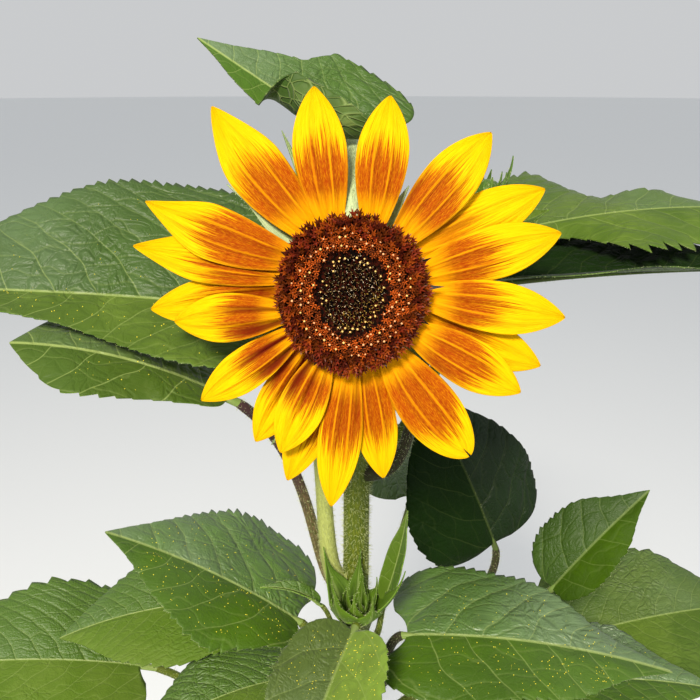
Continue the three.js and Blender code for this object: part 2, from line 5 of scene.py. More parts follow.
import bpy
import numpy as np
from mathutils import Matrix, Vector


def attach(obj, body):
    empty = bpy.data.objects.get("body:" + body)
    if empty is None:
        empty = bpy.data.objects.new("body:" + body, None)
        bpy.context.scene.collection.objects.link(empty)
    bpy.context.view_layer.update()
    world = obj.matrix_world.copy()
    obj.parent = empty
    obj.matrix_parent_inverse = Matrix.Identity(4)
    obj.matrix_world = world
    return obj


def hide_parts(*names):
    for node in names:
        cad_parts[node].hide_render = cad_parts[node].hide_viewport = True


bl_info = {
    "name": "Sunflower plant",
    "version": (1, 0, 0),
    "blender": (4, 5, 0),
    "location": "3D View > Sidebar > Sunflower",
    "description": "Builds the looks of a sunflower plant around its solids",
    "category": "Add Mesh",
}

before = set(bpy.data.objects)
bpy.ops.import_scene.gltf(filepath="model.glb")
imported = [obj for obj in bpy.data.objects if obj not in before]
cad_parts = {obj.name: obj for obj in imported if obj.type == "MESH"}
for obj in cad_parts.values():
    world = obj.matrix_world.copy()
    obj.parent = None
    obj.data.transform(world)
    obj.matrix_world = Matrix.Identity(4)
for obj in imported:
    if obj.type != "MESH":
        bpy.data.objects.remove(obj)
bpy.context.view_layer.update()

MM = 0.001
FULL_TURN = 2 * math.pi
GOLDEN_ANGLE = 137.508
UP = np.array([0.0, 0.0, 1.0])

# Bloom
HEAD_CENTRE = np.array([0.0, -38.0, 1001.0])
HEAD_TILT = math.radians(17)
CUP_RADIUS = 23.5
CUP_FRONT = -4.5
CUP_SIDE_BACK = -13
CUP_BACK = -25
DISC_RADIUS = 26
PETAL_FIRST_LAYER = -5.8
PETAL_LAYER_STEP = 2
PETAL_CLAW = 0.42
PETAL_WIDEST = 0.55
SEAT_GAP = 0.3

# Stem
STEM_GROUND_RADIUS = 10.5
STEM_TOP_RADIUS = 5.4
STEM_FLARE = 3.5
STEM_FLARE_HEIGHT = 26
STEM_STRAIGHT_TOP = 950
STEM_LEAN = (2.2, 8)

# Leaves
LEAF_ARCH_SHARE = 0.05
LEAF_TURN = (0.35, 0.3)
VEIN_LEAN = 0.45
VEIN_ARC = 0.28
STALK_FOOT_SWELL = 0.35

# View, in metres and degrees
CAMERA_PLACE = (-0.0007, -0.2656, 1.0696)
CAMERA_DOWNWARD = 21.4
CAMERA_LENS = 36.1
CAMERA_SENSOR = 36

HEAD_RIGHT = np.array([1.0, 0.0, 0.0])
HEAD_OUT = np.array([0.0, -math.cos(HEAD_TILT), math.sin(HEAD_TILT)])
HEAD_UP = np.cross(HEAD_OUT, HEAD_RIGHT)


def linear(red, green, blue):
    """A colour given as it looks on screen, 0 to 255, in the values that Blender mixes."""
    shares = [channel / 255 for channel in (red, green, blue)]
    return tuple(s / 12.92 if s <= 0.04045 else ((s + 0.055) / 1.055) ** 2.4 for s in shares)


def shade(colour, share):
    return tuple(channel * share for channel in colour[:3])


# Settings that a user would change
def colour_setting(name, description, red, green, blue):
    return bpy.props.FloatVectorProperty(
        name=name, description=description, subtype="COLOR", size=3, min=0, max=1,
        default=linear(red, green, blue),
    )


def length_setting(name, description, millimetres):
    return bpy.props.FloatProperty(
        name=name, description=description, default=millimetres * MM, min=0,
        subtype="DISTANCE", unit="LENGTH", precision=4,
    )


def number_setting(name, description, default, **limits):
    return bpy.props.FloatProperty(
        name=name, description=description, default=default, min=0, **limits,
    )


class BloomSettings(bpy.types.PropertyGroup):
    petal_tip: colour_setting("Petal tip", "Clear yellow of a petal's outer half", 231, 179, 0)
    petal_base: colour_setting("Petal base", "Deep yellow beside the disc", 230, 154, 0)
    petal_flush: colour_setting("Petal flush", "Orange-red of a petal's inner half", 144, 38, 1)
    # Painted shade: red-brown laid into the petals' folds and creases
    petal_fold_shade: colour_setting("Petal fold", "Red-brown down in the folds", 88, 14, 1)
    petal_under: colour_setting("Petal underside", "Paler yellow of the back", 206, 168, 30)
    petal_thickness: length_setting("Petal thickness", "Thickness of a petal", 0.4)
    petal_pleat: length_setting("Petal pleat", "Height of the lengthwise pleats", 0.55)
    # Near black: the heart's own dark colour, and partly painted shade of the sunken heart
    disc_heart: colour_setting("Disc heart", "Closed florets in the middle", 7, 4, 2)
    disc_ring: colour_setting("Disc ring", "Open florets around the middle", 150, 66, 14)
    disc_rim: colour_setting("Disc rim", "Dark florets at the edge", 104, 34, 14)
    disc_cream: colour_setting("Pollen dots", "Cream dots of pollen on the florets", 226, 164, 112)
    floret_count: bpy.props.IntProperty(
        name="Florets", description="Florets on the disc", default=860, min=50, max=2000,
    )


class LeafSettings(bpy.types.PropertyGroup):
    green: colour_setting("Green", "Far half of a grown leaf", 72, 106, 20)
    # Painted light: the clear green of a leaf's near half stands for light through the blade; buds
    # and young leaves use it as a plain green
    near_green: colour_setting("Clear green", "Near half of a grown leaf", 64, 94, 2)
    velvet: colour_setting("Velvet", "Lit half of the young leaf in front", 102, 126, 44)
    deep_green: colour_setting("Deep green", "Darker patches of a grown leaf", 46, 72, 10)
    fresh_green: colour_setting("Fresh green", "Young leaves with light through them", 92, 124, 22)
    shade_green: colour_setting("Shade green", "Leaves that hang in shade", 16, 36, 5)
    # Grey down of bracts and leaves, and on a leaf's far half also a painted sheen of the sky
    sheen_and_down_grey: colour_setting("Grey bloom", "Dull bluish cast of the hairs", 100, 120, 88)
    bract_pale: colour_setting("Pale bract", "Hairy pale green of the bracts", 182, 198, 146)
    under_green: colour_setting("Underside", "Underside of a leaf", 82, 104, 46)
    vein: colour_setting("Veins", "Pale midrib and side veins", 134, 150, 84)
    thickness: length_setting("Thickness", "Thickness of a blade", 0.5)
    vein_depth: length_setting("Vein depth", "How far the blade rises between its veins", 0.6)
    tooth: number_setting(
        "Tooth", "Depth of a tooth, of the half width", 0.09, max=1, subtype="FACTOR",
    )


class StemSettings(bpy.types.PropertyGroup):
    green: colour_setting("Green", "Pale green of the stem", 98, 108, 22)
    streak: colour_setting("Streaks", "Darker streaks along the stem", 70, 86, 14)
    purple: colour_setting("Purple", "Purple-brown of the sunny stalk", 62, 38, 38)
    tan: colour_setting("Tan", "Pinkish tan of the sunny stalk's foot", 140, 112, 84)
    pale: colour_setting("Pale stalk", "Downy pale green of the big leaf's stalk", 168, 176, 96)
    hair: colour_setting("Hairs", "Pale bristles", 208, 216, 158)
    rib_depth: length_setting("Rib depth", "Height of the ribs along the stem", 0.3)
    hair_length: length_setting("Hair length", "Length of the longest bristles", 3.0)
    hairs_per_area: number_setting(
        "Hairs per square millimetre", "How close the bristles stand", 0.72, max=1,
    )


class StageSettings(bpy.types.PropertyGroup):
    floor: colour_setting("Floor", "Plain pale floor", 236, 238, 239)
    floor_radius: length_setting("Floor radius", "Radius of the floor", 40000)
    key_power: number_setting("Key light", "Power of the main lamp in watts", 94)
    fill_power: number_setting("Fill light", "Power of the fill lamp in watts", 8)
    sky: number_setting("Sky light", "Strength of the even light", 0.7)


# Directions and curves
def unit(v):
    return v / np.linalg.norm(v, axis=-1, keepdims=True)


def smooth(x):
    x = np.clip(x, 0, 1)
    return x * x * (3 - 2 * x)


def cross_frame(forward, face):
    side = unit(np.cross(forward, face))
    return side, unit(np.cross(side, forward))


def level_way(azimuth):
    a = math.radians(azimuth)
    return np.array([math.cos(a), math.sin(a), 0.0])


def head_way(a):
    """The way from the bloom's middle towards the angle a, in the bloom's own plane."""
    return HEAD_RIGHT * math.cos(a) + HEAD_UP * math.sin(a)


def around_head(angle, reach, out):
    a = math.radians(angle)
    right, up = reach * math.cos(a), reach * math.sin(a)
    return HEAD_CENTRE + HEAD_RIGHT * right + HEAD_UP * up + HEAD_OUT * out


def bezier(ends, u):
    """Points and directions along a cubic curve through its four control points."""
    a, b, c, d = [np.asarray(p, float) for p in ends]
    u = np.asarray(u, float)[:, None]
    points = a * (1 - u) ** 3 + 3 * b * u * (1 - u) ** 2 + 3 * c * u * u * (1 - u) + d * u ** 3
    ways = 3 * (b - a) * (1 - u) ** 2 + 6 * (c - b) * u * (1 - u) + 3 * (d - c) * u * u
    return points, unit(ways)


def run_along(path):
    """The length of a path up to each of its points."""
    return np.concatenate([[0], np.cumsum(np.linalg.norm(np.diff(path, axis=0), axis=1))])


def stem_centre(height):
    height = np.asarray(height, float)
    rise = np.minimum(1, height / STEM_STRAIGHT_TOP)
    return np.stack([STEM_LEAN[0] * smooth(rise), STEM_LEAN[1] * rise * rise, height], axis=-1)


def stem_radius(height):
    height = np.asarray(height, float)
    rise = np.minimum(1, height / STEM_STRAIGHT_TOP)
    taper = STEM_GROUND_RADIUS + (STEM_TOP_RADIUS - STEM_GROUND_RADIUS) * rise ** 0.9
    return taper + STEM_FLARE * np.exp(-height / STEM_FLARE_HEIGHT)


def seat_on_stem(height, azimuth):
    away = level_way(azimuth)
    seat = stem_centre(height) + away * (stem_radius(height) + SEAT_GAP)
    return {"seat": seat, "away": away, "up": UP, "on_stem": (height, azimuth)}


def side_limb(height, azimuth, end, end_way, radius, end_radius):
    start = seat_on_stem(height, azimuth)
    finish = np.array(end, float)
    span = np.linalg.norm(finish - start["seat"])
    leaving = start["seat"] + start["away"] * span * 0.3
    arriving = finish - unit(np.array(end_way, float)) * span * 0.45
    return {"ends": (start["seat"], leaving, arriving, finish), "radii": (radius, end_radius)}


def seat_on_limb(limb, u, azimuth):
    points, ways = bezier(limb["ends"], [u])
    axis = ways[0]
    flat = level_way(azimuth)
    away = unit(flat - axis * flat.dot(axis))
    radius = limb["radii"][0] + (limb["radii"][1] - limb["radii"][0]) * u
    return {"seat": points[0] + away * (radius + SEAT_GAP), "away": away, "up": axis}


BUD_BRANCH = side_limb(896, 60, (55, 27, 1018), (0.1, 0, 1), 3.2, 2.4)
YOUNG_SHOOT = side_limb(700, -84, (2.5, -15, 838), (0, 0.05, 1), 4.6, 3.8)


# Gathering a mesh
def ring_angles(turns):
    return math.pi * (1 - (2 * np.arange(turns) + 1) / turns)


def spread(down, across):
    """Pairs of each row's value and each column's."""
    return np.stack(np.broadcast_arrays(down[:, None], across[None, :]), axis=-1)


class Shape:
    """Points and faces of one piece, with a picture place and a surface number for each."""

    def __init__(self):
        self.points, self.places, self.metric = [], [], []
        self.faces, self.surfaces = [], []
        self.count = 0

    def add_points(self, points, places=None, metric=None):
        start = self.count
        points = np.reshape(points, (-1, 3))
        places = np.zeros((len(points), 2)) if places is None else np.reshape(places, (-1, 2))
        self.points.append(points)
        self.places.append(places)
        self.metric.append(places if metric is None else np.reshape(metric, (-1, 2)))
        self.count += len(points)
        return start

    def add_faces(self, faces, surfaces):
        self.faces.append(faces)
        self.surfaces.append(np.broadcast_to(np.asarray(surfaces, int), (len(faces),)))

    def grid(self, points, places, surfaces, metric=None, closed=False):
        """Rows of points joined into quads. A closed grid's last column meets its first."""
        rows, columns = points.shape[:2]
        start = self.add_points(points, places, metric)
        across = np.arange(columns if closed else columns - 1)
        k, i = np.meshgrid(np.arange(rows - 1), across, indexing="ij")
        j = (i + 1) % columns
        here = start + k * columns
        there = here + columns
        faces = np.stack([here + i, here + j, there + j, there + i], axis=-1).reshape(-1, 4)
        self.add_faces(faces, np.broadcast_to(surfaces, k.shape).reshape(-1))
        return start

    def closed_skin(self, points, places, surfaces, metric=None):
        """A closed grid whose first and last rows are closed too, by strips of quads."""
        rows, columns = points.shape[:2]
        surfaces = np.broadcast_to(surfaces, (rows - 1, columns))
        start = self.grid(points, places, surfaces, metric, closed=True)
        ring = start + np.arange(columns)
        last_ring = ring[::-1] + (rows - 1) * columns
        k = np.arange(columns // 2 - 1)
        for ring, surface in ((ring, surfaces[0, -1]), (last_ring, surfaces[-1, -1])):
            strip = np.stack([ring[k], ring[-1 - k], ring[-2 - k], ring[k + 1]], axis=-1)
            self.add_faces(strip, surface)

    def tube(self, path, sides, tops, radii, surfaces, turns, run):
        """A round limb along a path. Radii may be given for each ring or for each point, and the
        surface for each stretch between two rings."""
        angles = ring_angles(turns)[:, None]
        ring = sides[:, None, :] * np.cos(angles) + tops[:, None, :] * np.sin(angles)
        points = path[:, None, :] + ring * radii.reshape(len(path), -1, 1)
        kinds = np.broadcast_to(surfaces, len(path) - 1)[:, None]
        self.closed_skin(points, spread(run, np.arange(turns) / turns), kinds)
        return points, ring

    def add_copy(self, body, centre, axis, turn, size, surface):
        """A small body turned onto an axis of its own."""
        points, blocks = body
        x = unit(np.cross(UP if abs(axis[2]) < 0.9 else HEAD_RIGHT, axis))
        y = np.cross(axis, x)
        c, s = math.cos(turn), math.sin(turn)
        basis = np.stack([x * c + y * s, y * c - x * s, axis])
        start = self.add_points(centre + (points * size) @ basis)
        for faces in blocks:
            self.add_faces(faces + start, surface)

    def make(self, name, materials, flat=False):
        """The finished Blender object, in metres."""
        mesh = bpy.data.meshes.new(name)
        faces = [face for block in self.faces for face in block.tolist()]
        mesh.from_pydata((np.concatenate(self.points) * MM).tolist(), [], faces)
        mesh.polygons.foreach_set("material_index", np.concatenate(self.surfaces))
        mesh.polygons.foreach_set("use_smooth", np.full(len(faces), not flat))
        corners = np.empty(len(mesh.loops), int)
        mesh.loops.foreach_get("vertex_index", corners)
        for title, values in (("Place", self.places), ("Metric", self.metric)):
            layer = mesh.uv_layers.new(name=title)
            layer.data.foreach_set("uv", np.concatenate(values)[corners].astype(np.float32).ravel())
        mesh.update()
        for material in materials:
            mesh.materials.append(material)
        obj = bpy.data.objects.new(name, mesh)
        bpy.context.scene.collection.objects.link(obj)
        return obj

    def settle(self, name, materials, slot_name, *nodes, flat=False):
        """Makes a piece of the plant, parents it to the root body and hides the solids it stands in
        for.
        """
        obj = self.make(name, materials, flat)
        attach(obj, "root")
        if nodes:
            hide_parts(*nodes)
        return obj


def must(found, what):
    if not found:
        raise RuntimeError(f"no {what} could be made")


# Blades
def side_bend(bend, share=1.0, tip_share=1.0):
    """Fold, curl, curl near the tip, and the share of the width, of one half of a blade."""
    return bend[0], bend[1], bend[-1], share, tip_share


def blade_surface(s, t, base, tip, face, half, arch, left, right, sway=0, ripple=0.05,
                  ripple_phase=0, lobe=0, turn=LEAF_TURN, cut=1.0, reach=0.0):
    """Middle of a blade at the shares s along and t across, with its normals, the distance of each
    point from the midrib, and the midrib's points, sides and tops. The half width is given for
    each s, the cut of the margin and the reach towards the tip for each point."""
    chord = tip - base
    side0, top0 = cross_frame(unit(chord), face)
    along = s[:, None]
    bulge = 4 * along * (1 - along)
    slant = 4 * (1 - 2 * along)
    spine = base + chord * along + top0 * arch * bulge + side0 * sway * bulge
    way = unit(chord + top0 * arch * slant + side0 * sway * slant)
    side, top = cross_frame(way, face)
    towards_tip = smooth((along - turn[0]) / turn[1])
    half = half[:, None]
    share = np.abs(t)
    sign = np.where(t < 0, -1.0, 1.0)
    cut = np.broadcast_to(cut, (len(s), len(t)))
    out, lift, width = np.zeros((3, len(s), len(t)))
    for mask, (fold, curl, tip_curl, wide, tip_wide) in ((t < 0, left), (t >= 0, right)):
        fold = math.radians(fold)
        curl = np.radians(curl + (tip_curl - curl) * towards_tip)
        curl = np.where(np.abs(curl) < 1e-6, 1e-6, curl)
        slope = fold + curl * share[mask]
        full = half * (wide + (tip_wide - wide) * towards_tip) * cut[:, mask]
        out[:, mask] = full * (np.sin(slope) - math.sin(fold)) / curl
        lift[:, mask] = full * (math.cos(fold) - np.cos(slope)) / curl
        width[:, mask] = full
    lift += ripple * half * share * share * np.sin(math.radians(ripple_phase) + sign + 15 * along)
    back = -lobe * half * share * share * (1 - along) ** 4 + reach
    points = (
        spine[:, None, :]
        + side[:, None, :] * (sign * out)[:, :, None]
        + top[:, None, :] * lift[:, :, None]
        + way[:, None, :] * back[:, :, None]
    )
    normals = np.cross(np.gradient(points, axis=1), np.gradient(points, axis=0))
    normals = normals / np.maximum(np.linalg.norm(normals, axis=2, keepdims=True), 1e-9)
    if np.sum(normals * top[:, None, :], axis=2).mean() < 0:
        normals = -normals
    return points, normals, width * sign * share, (spine, side, top)


def thin_shell(shape, points, normals, thickness, places, upper=0, under=1, metric=None):
    """A closed skin round the middle of a blade, with its own surface numbers for both sides."""
    def both(above, below):
        return np.concatenate([above, below[:, ::-1]], axis=1)

    above = points + normals * thickness / 2
    below = points - normals * thickness / 2
    metric = places if metric is None else metric
    columns = points.shape[1]
    surfaces = np.repeat([upper, under], [columns - 1, columns + 1])
    shape.closed_skin(both(above, below), both(places, places), surfaces, both(metric, metric))
    return above


def leaf_outline(s, widest, pinch):
    tip_power = 0.95
    base_power = tip_power * widest / (1 - widest)
    drawn_out = 1 - pinch * smooth((s - 0.6) / 0.32)
    return drawn_out * (s / widest) ** base_power * ((1 - s) / (1 - widest)) ** tip_power


def bract_outline(s):
    return (0.75 + 0.6 * s) * (1 - s) ** 0.9


def leafy_bract_outline(s):
    widest = 0.3
    rise = np.sin(math.pi / 2 * np.minimum(1, s / widest))
    fall = (1 - np.maximum(0, s - widest) / (1 - widest)) ** 1.25
    return (0.4 + 0.6 * rise) * fall


# Node trees
def sum_rule(operation, swapped=False):
    """Lets a plain sign between two values stand for the node that works it out."""
    def rule(self, other=0.0):
        return self.nodes.math(operation, *((other, self) if swapped else (self, other)))

    return rule


class Value:
    """What a node gives, for use in plain sums."""

    __add__ = __radd__ = sum_rule("ADD")
    __mul__ = __rmul__ = sum_rule("MULTIPLY")
    __sub__ = sum_rule("SUBTRACT")
    __rsub__ = sum_rule("SUBTRACT", swapped=True)
    __truediv__ = sum_rule("DIVIDE")
    __lt__ = sum_rule("LESS_THAN")
    __abs__ = sum_rule("ABSOLUTE")

    def __init__(self, nodes, socket):
        self.nodes, self.socket = nodes, socket

    def ramp(self, low, high, start=0, end=1):
        """Goes smoothly from start to end as the value goes from low to high."""
        return self.nodes.add("MapRange", "Result", {
            "Value": self, "From Min": low, "From Max": high, "To Min": start, "To Max": end,
        }, interpolation_type="SMOOTHSTEP")

    def line(self, inner, outer):
        """One where the value is small, as on a line's middle, and none beyond its half width."""
        return self.ramp(inner, outer, 1, 0)


class Nodes:
    """Short words for the nodes of one material."""

    def __init__(self, name):
        self.material = bpy.data.materials.new(name)
        self.material.use_nodes = True
        self.tree = self.material.node_tree
        self.shader = self.tree.nodes["Principled BSDF"]

    def put(self, socket, value):
        if isinstance(value, Value):
            self.tree.links.new(value.socket, socket)
        else:
            socket.default_value = value if isinstance(value, (int, float)) else (*value[:3], 1)

    def add(self, kind, output, inputs=None, **settings):
        node = self.tree.nodes.new("ShaderNode" + kind)
        for title, value in settings.items():
            setattr(node, title, value)
        for place, value in (inputs or {}).items():
            self.put(node.inputs[place], value)
        return Value(self, node.outputs[output])

    def uv(self, layer):
        return self.add("UVMap", "UV", uv_map=layer)

    def place(self):
        return self.add("TexCoord", "Object")

    def split(self, vector):
        x = self.add("SeparateXYZ", "X", {0: vector})
        return x, Value(self, x.socket.node.outputs["Y"])

    def join(self, x, y, z=0.0):
        return self.add("CombineXYZ", 0, {0: x, 1: y, 2: z})

    def math(self, operation, a, b=0.0):
        return self.add("Math", 0, {0: a, 1: b}, operation=operation)

    def mix(self, factor, a, b):
        return self.add("Mix", 2, {0: factor, 6: a, 7: b}, data_type="RGBA")

    def layers(self, tone, *coats):
        """A tone under coats of colour, each given with how far it covers."""
        for share, colour in coats:
            tone = self.mix(share, tone, colour)
        return tone

    def noise(self, vector, scale, detail=3, rough=0.55):
        return self.add("TexNoise", "Fac", {
            "Vector": vector, "Scale": scale, "Detail": detail, "Roughness": rough,
        })

    def cells(self, vector, scale):
        """How far a place is from the nearest edge of a net of cells."""
        inputs = {"Vector": vector, "Scale": scale}
        return self.add("TexVoronoi", "Distance", inputs, feature="DISTANCE_TO_EDGE")

    def bump(self, height, distance, strength=1.0):
        inputs = {"Height": height, "Distance": distance, "Strength": strength}
        self.put(self.shader.inputs["Normal"], self.add("Bump", 0, inputs))

    def finish(self, colour, roughness, **others):
        self.put(self.shader.inputs["Base Color"], colour)
        for title, value in {"Roughness": roughness, **others}.items():
            self.put(self.shader.inputs[title.replace("_", " ")], value)
        return self.material


def plain_material(name, colour, roughness=0.6, gloss=0.2):
    return Nodes(name).finish(colour, roughness, Specular_IOR_Level=gloss)


def leaf_pattern(nodes):
    """Side veins, the rungs between them and the net at each place of a blade."""
    x, y = nodes.split(nodes.uv("Metric"))
    off = abs(y)
    drift = nodes.noise(nodes.join(x, y), 0.8, 1) - 0.5
    w = x - (off * VEIN_ARC + VEIN_LEAN) * off + (drift * 0.5 + (y < 0) * 0.5)
    to_vein = abs(nodes.math("FRACT", w) - 0.5) / (off * 0.45 + 1.05)
    bent = nodes.join(drift * 1.4 + x, y)
    climb = drift * 2.2 + (off * 1.7 + nodes.math("FLOOR", w + 0.5) * 0.37)
    to_rung = abs(nodes.math("FRACT", climb) - 0.5)
    return SimpleNamespace(
        y=y, off=off, to_vein=to_vein, to_rung=to_rung, rung=to_rung.line(0.01, 0.06),
        vein=to_vein.line(0.003, 0.02) * off.ramp(0.6, 2.6, 1, 0.3),
        net=nodes.cells(bent, 2.9), fine=nodes.cells(bent, 8),
    )


def leaf_upper(name, settings, tones, far_side, grey, lines=1.0, gloss=1.0, sheen=0.02):
    """Upper side of a blade: a clear near half painted as lit through, a dull far half with a painted
    grey sheen, pale veins, blisters between with painted shade along their sunken net.
    """
    near, far, deep = tones
    nodes = Nodes(name)
    leaf = leaf_pattern(nodes)
    spot = nodes.place()
    run, _ = nodes.split(nodes.uv("Place"))
    over = (leaf.y * far_side).ramp(-0.05, 0.05)
    patches = nodes.noise(spot, 30).ramp(0.36, 0.66)
    quilt = nodes.noise(spot, 16, 2).ramp(0.42, 0.62, 0.15)
    # Painted sheen: a grey cast towards the tip on the far half, for the sky's reflection
    cast = nodes.noise(spot, 22, 2).ramp(0.36, 0.64, 0.35) * grey * run.ramp(0.25, 0.6, 0.25)
    grain = nodes.noise(nodes.uv("Metric"), 40, 2, 0.6)
    tone = nodes.layers(
        near,
        # Painted light: the near half keeps the clear tone of light through the blade, the far half
        # takes the duller one
        (over, far),
        ((1 - patches) * 0.55, deep),
        (cast * (over * 0.8 + 0.2), settings.sheen_and_down_grey),
        (grain.ramp(0.5, 0.8, 0, 0.12), settings.sheen_and_down_grey),
        (leaf.net.ramp(0, 0.05, 0.07 * lines, 0), settings.vein),
        # Painted shade: darker along the sunken net between the blisters
        (leaf.net.ramp(0, 0.3, 0.22, 0), deep),
        (leaf.rung * (0.14 * lines), settings.vein),
        (leaf.vein * (0.48 * lines), settings.vein),
        (leaf.off.ramp(0.02, 0.06, 0.8 * lines, 0), settings.vein),
    )
    blisters = leaf.net.ramp(0, 0.26) * quilt + leaf.fine.ramp(0, 0.3) * 0.22
    between = leaf.to_vein.ramp(0, 0.1, 0, 0.5) + leaf.to_rung.ramp(0, 0.14, 0, 0.4)
    base_side = over * run.ramp(0.3, 0.75, 1, 0.35)
    height = (blisters + between) * (base_side * 0.75 + 0.5)
    nodes.bump(grain * 0.25 + height, 0.001, 0.6)
    return nodes.finish(
        tone, grain.ramp(0.3, 0.8, 0.37, 0.52), Sheen_Weight=sheen,
        Specular_IOR_Level=over.ramp(0, 1, 0.1 * gloss, 0.44 * gloss),
    )


def leaf_under(name, settings, base, lines=1.0):
    """Underside of a blade: dull, with raised pale veins."""
    nodes = Nodes(name)
    leaf = leaf_pattern(nodes)
    tone = nodes.layers(
        base,
        (nodes.noise(nodes.place(), 60).ramp(0.35, 0.7), settings.under_green),
        (leaf.net.ramp(0, 0.07, 0.4 * lines, 0), settings.vein),
        (leaf.vein * (0.85 * lines), settings.vein),
    )
    nodes.bump(leaf.vein * 1.6 + leaf.net.line(0, 0.12), 0.0006, 0.8)
    return nodes.finish(tone, 0.62, Sheen_Weight=0.05, Specular_IOR_Level=0.25)


def stalk_material(name, settings, green, dark, purple_share=0):
    """Ribbed, hairy green skin of a stem or a stalk, with streaks along it."""
    nodes = Nodes(name)
    run, around = nodes.split(nodes.uv("Place"))
    angle = around * FULL_TURN
    ring = nodes.join(nodes.math("COSINE", angle), nodes.math("SINE", angle), run * 3)
    streaks = nodes.noise(ring, 7, 4, 0.6)
    flecks = nodes.noise(nodes.place(), 900, 2, 0.7)
    tone = nodes.layers(
        dark, (streaks.ramp(0.38, 0.64), green), (flecks.ramp(0.62, 0.78, 0, 0.28), settings.hair),
    )
    if purple_share:
        reach = nodes.noise(nodes.place(), 160, 3, 0.65) * 1.2 + run
        tone = nodes.mix(reach.ramp(1.6, 2.8, 0.12, purple_share), tone, settings.purple)
    nodes.bump(streaks + flecks * 0.6, 0.0006, 0.8)
    return nodes.finish(tone, 0.58, Sheen_Weight=0.03, Specular_IOR_Level=0.25)


def streaked_material(name, stretch, ramp, under, over, gloss):
    """A skin with fine streaks of one colour over another, along a midrib or a petal's back."""
    nodes = Nodes(name)
    run, around = nodes.split(nodes.uv("Place"))
    streaks = nodes.noise(nodes.join(run * stretch[0], around * stretch[1]), 1, 3, 0.6)
    nodes.bump(streaks, 0.0004, 0.6)
    return nodes.finish(
        nodes.mix(streaks.ramp(*ramp, 0, 0.5), under, over), 0.6, Specular_IOR_Level=gloss,
    )


def petal_material(name, settings, seed, petal):
    """Yellow petal with an orange-red inner half, split by pale ridges that are partly a painted
    highlight, with fine streaks and painted shade in its folds and creases.
    """
    nodes = Nodes(name)
    s, v = nodes.split(nodes.uv("Place"))
    t = v * 2 - 1
    across = abs(t)

    def streaks(along, over, scale, detail, rough):
        return nodes.noise(nodes.join(s * along, v * over, seed), scale, detail, rough)

    streak = streaks(2.2, 24, 1, 4, 0.7)
    hair_lines = streaks(3.5, 70, 1, 2, 0.6)
    grain = streaks(18, 44, 1.6, 3, 0.7)
    reach = petal.flush - across * across * 0.14
    edge = (hair_lines - 0.5) * 0.55 + ((streak - 0.5) * 0.5 + reach)
    inner = (s - edge).ramp(-0.09, 0.12, 1, 0)
    start = (streak * 0.16 + s).ramp(petal.claw + 0.04, petal.claw + 0.24)
    flush = inner * start * across.ramp(0.84, 1, 1, 0.6) * petal.strength
    warm = nodes.layers(
        settings.petal_flush,
        (grain.ramp(0.36, 0.66), settings.petal_base),
        (grain.ramp(0.2, 0.75, 0.9, 0.55), settings.petal_flush),
    )
    ridge = abs(across - 0.33)
    near = s.ramp(0.32, 0.7, 1, 0)
    tone = nodes.layers(
        settings.petal_base,
        (s.ramp(0.08, 0.5), settings.petal_tip),
        (flush * 0.94, warm),
        # Painted shade: red-brown beside the pleat ridges
        (abs(ridge - 0.1).line(0, 0.06) * flush * 0.3, settings.petal_fold_shade),
        # Pale along the pleat ridges: partly the petal's own colour and partly a painted highlight
        (ridge.line(0.01, 0.06) * s.ramp(0.02, 0.2) * 0.6, settings.petal_base),
        # Painted shade down the middle groove and in the creases
        (abs(across - 0.1).line(0, 0.2) * flush * petal.fold, settings.petal_fold_shade),
        *(
            (abs(t - place).line(wide * 0.2, wide * 1.1) * near * deep, settings.petal_fold_shade)
            for place, wide, deep in petal.folds
        ),
        (hair_lines.ramp(0.5, 0.7) * (flush * 0.34 + 0.1), settings.petal_flush),
    )
    nodes.bump(hair_lines + streak * 0.6, 0.0006, 0.75)
    return nodes.finish(tone, 0.6, Specular_IOR_Level=0.05)


def bract_material(name, settings, base, pale, down=1.0):
    """Bract with a pale midrib and as much grey down as is asked for."""
    nodes = Nodes(name)
    s, v = nodes.split(nodes.uv("Place"))
    lines = nodes.noise(nodes.join(s * 2, v * 16), 1, 3, 0.6)
    flecks = nodes.noise(nodes.place(), 1100, 2, 0.7)
    tone = nodes.layers(
        base,
        (lines.ramp(0.35, 0.65), pale),
        (abs(v * 2 - 1).line(0.02, 0.22) * 0.5, settings.vein),
        (flecks.ramp(0.6, 0.78, 0, 0.35 * down), settings.sheen_and_down_grey),
    )
    nodes.bump(lines + flecks, 0.0004, 0.7)
    return nodes.finish(tone, 0.56, Sheen_Weight=0.1 * down, Specular_IOR_Level=0.3)


# Small bodies that many copies are made of, in millimetres about the origin, pointing up +Z
def spike_body(radius, length, bend=0.0, waist=0.75):
    """A thin awl with three sides, closed at its foot."""
    angles = np.radians([90, 210, 330])
    ring = np.stack([np.cos(angles), np.sin(angles), np.zeros(3)], axis=1)
    middle = ring * radius * waist + np.array([bend * 0.3, 0, length * 0.5])
    points = np.concatenate([ring * radius, middle, [[bend, 0, length]]])
    walls = np.array([(i, (i + 1) % 3, 3 + (i + 1) % 3, 3 + i) for i in range(3)])
    top = np.array([(3 + i, 3 + (i + 1) % 3, 6) for i in range(3)])
    return points, (walls, top, np.array([(2, 1, 0)]))


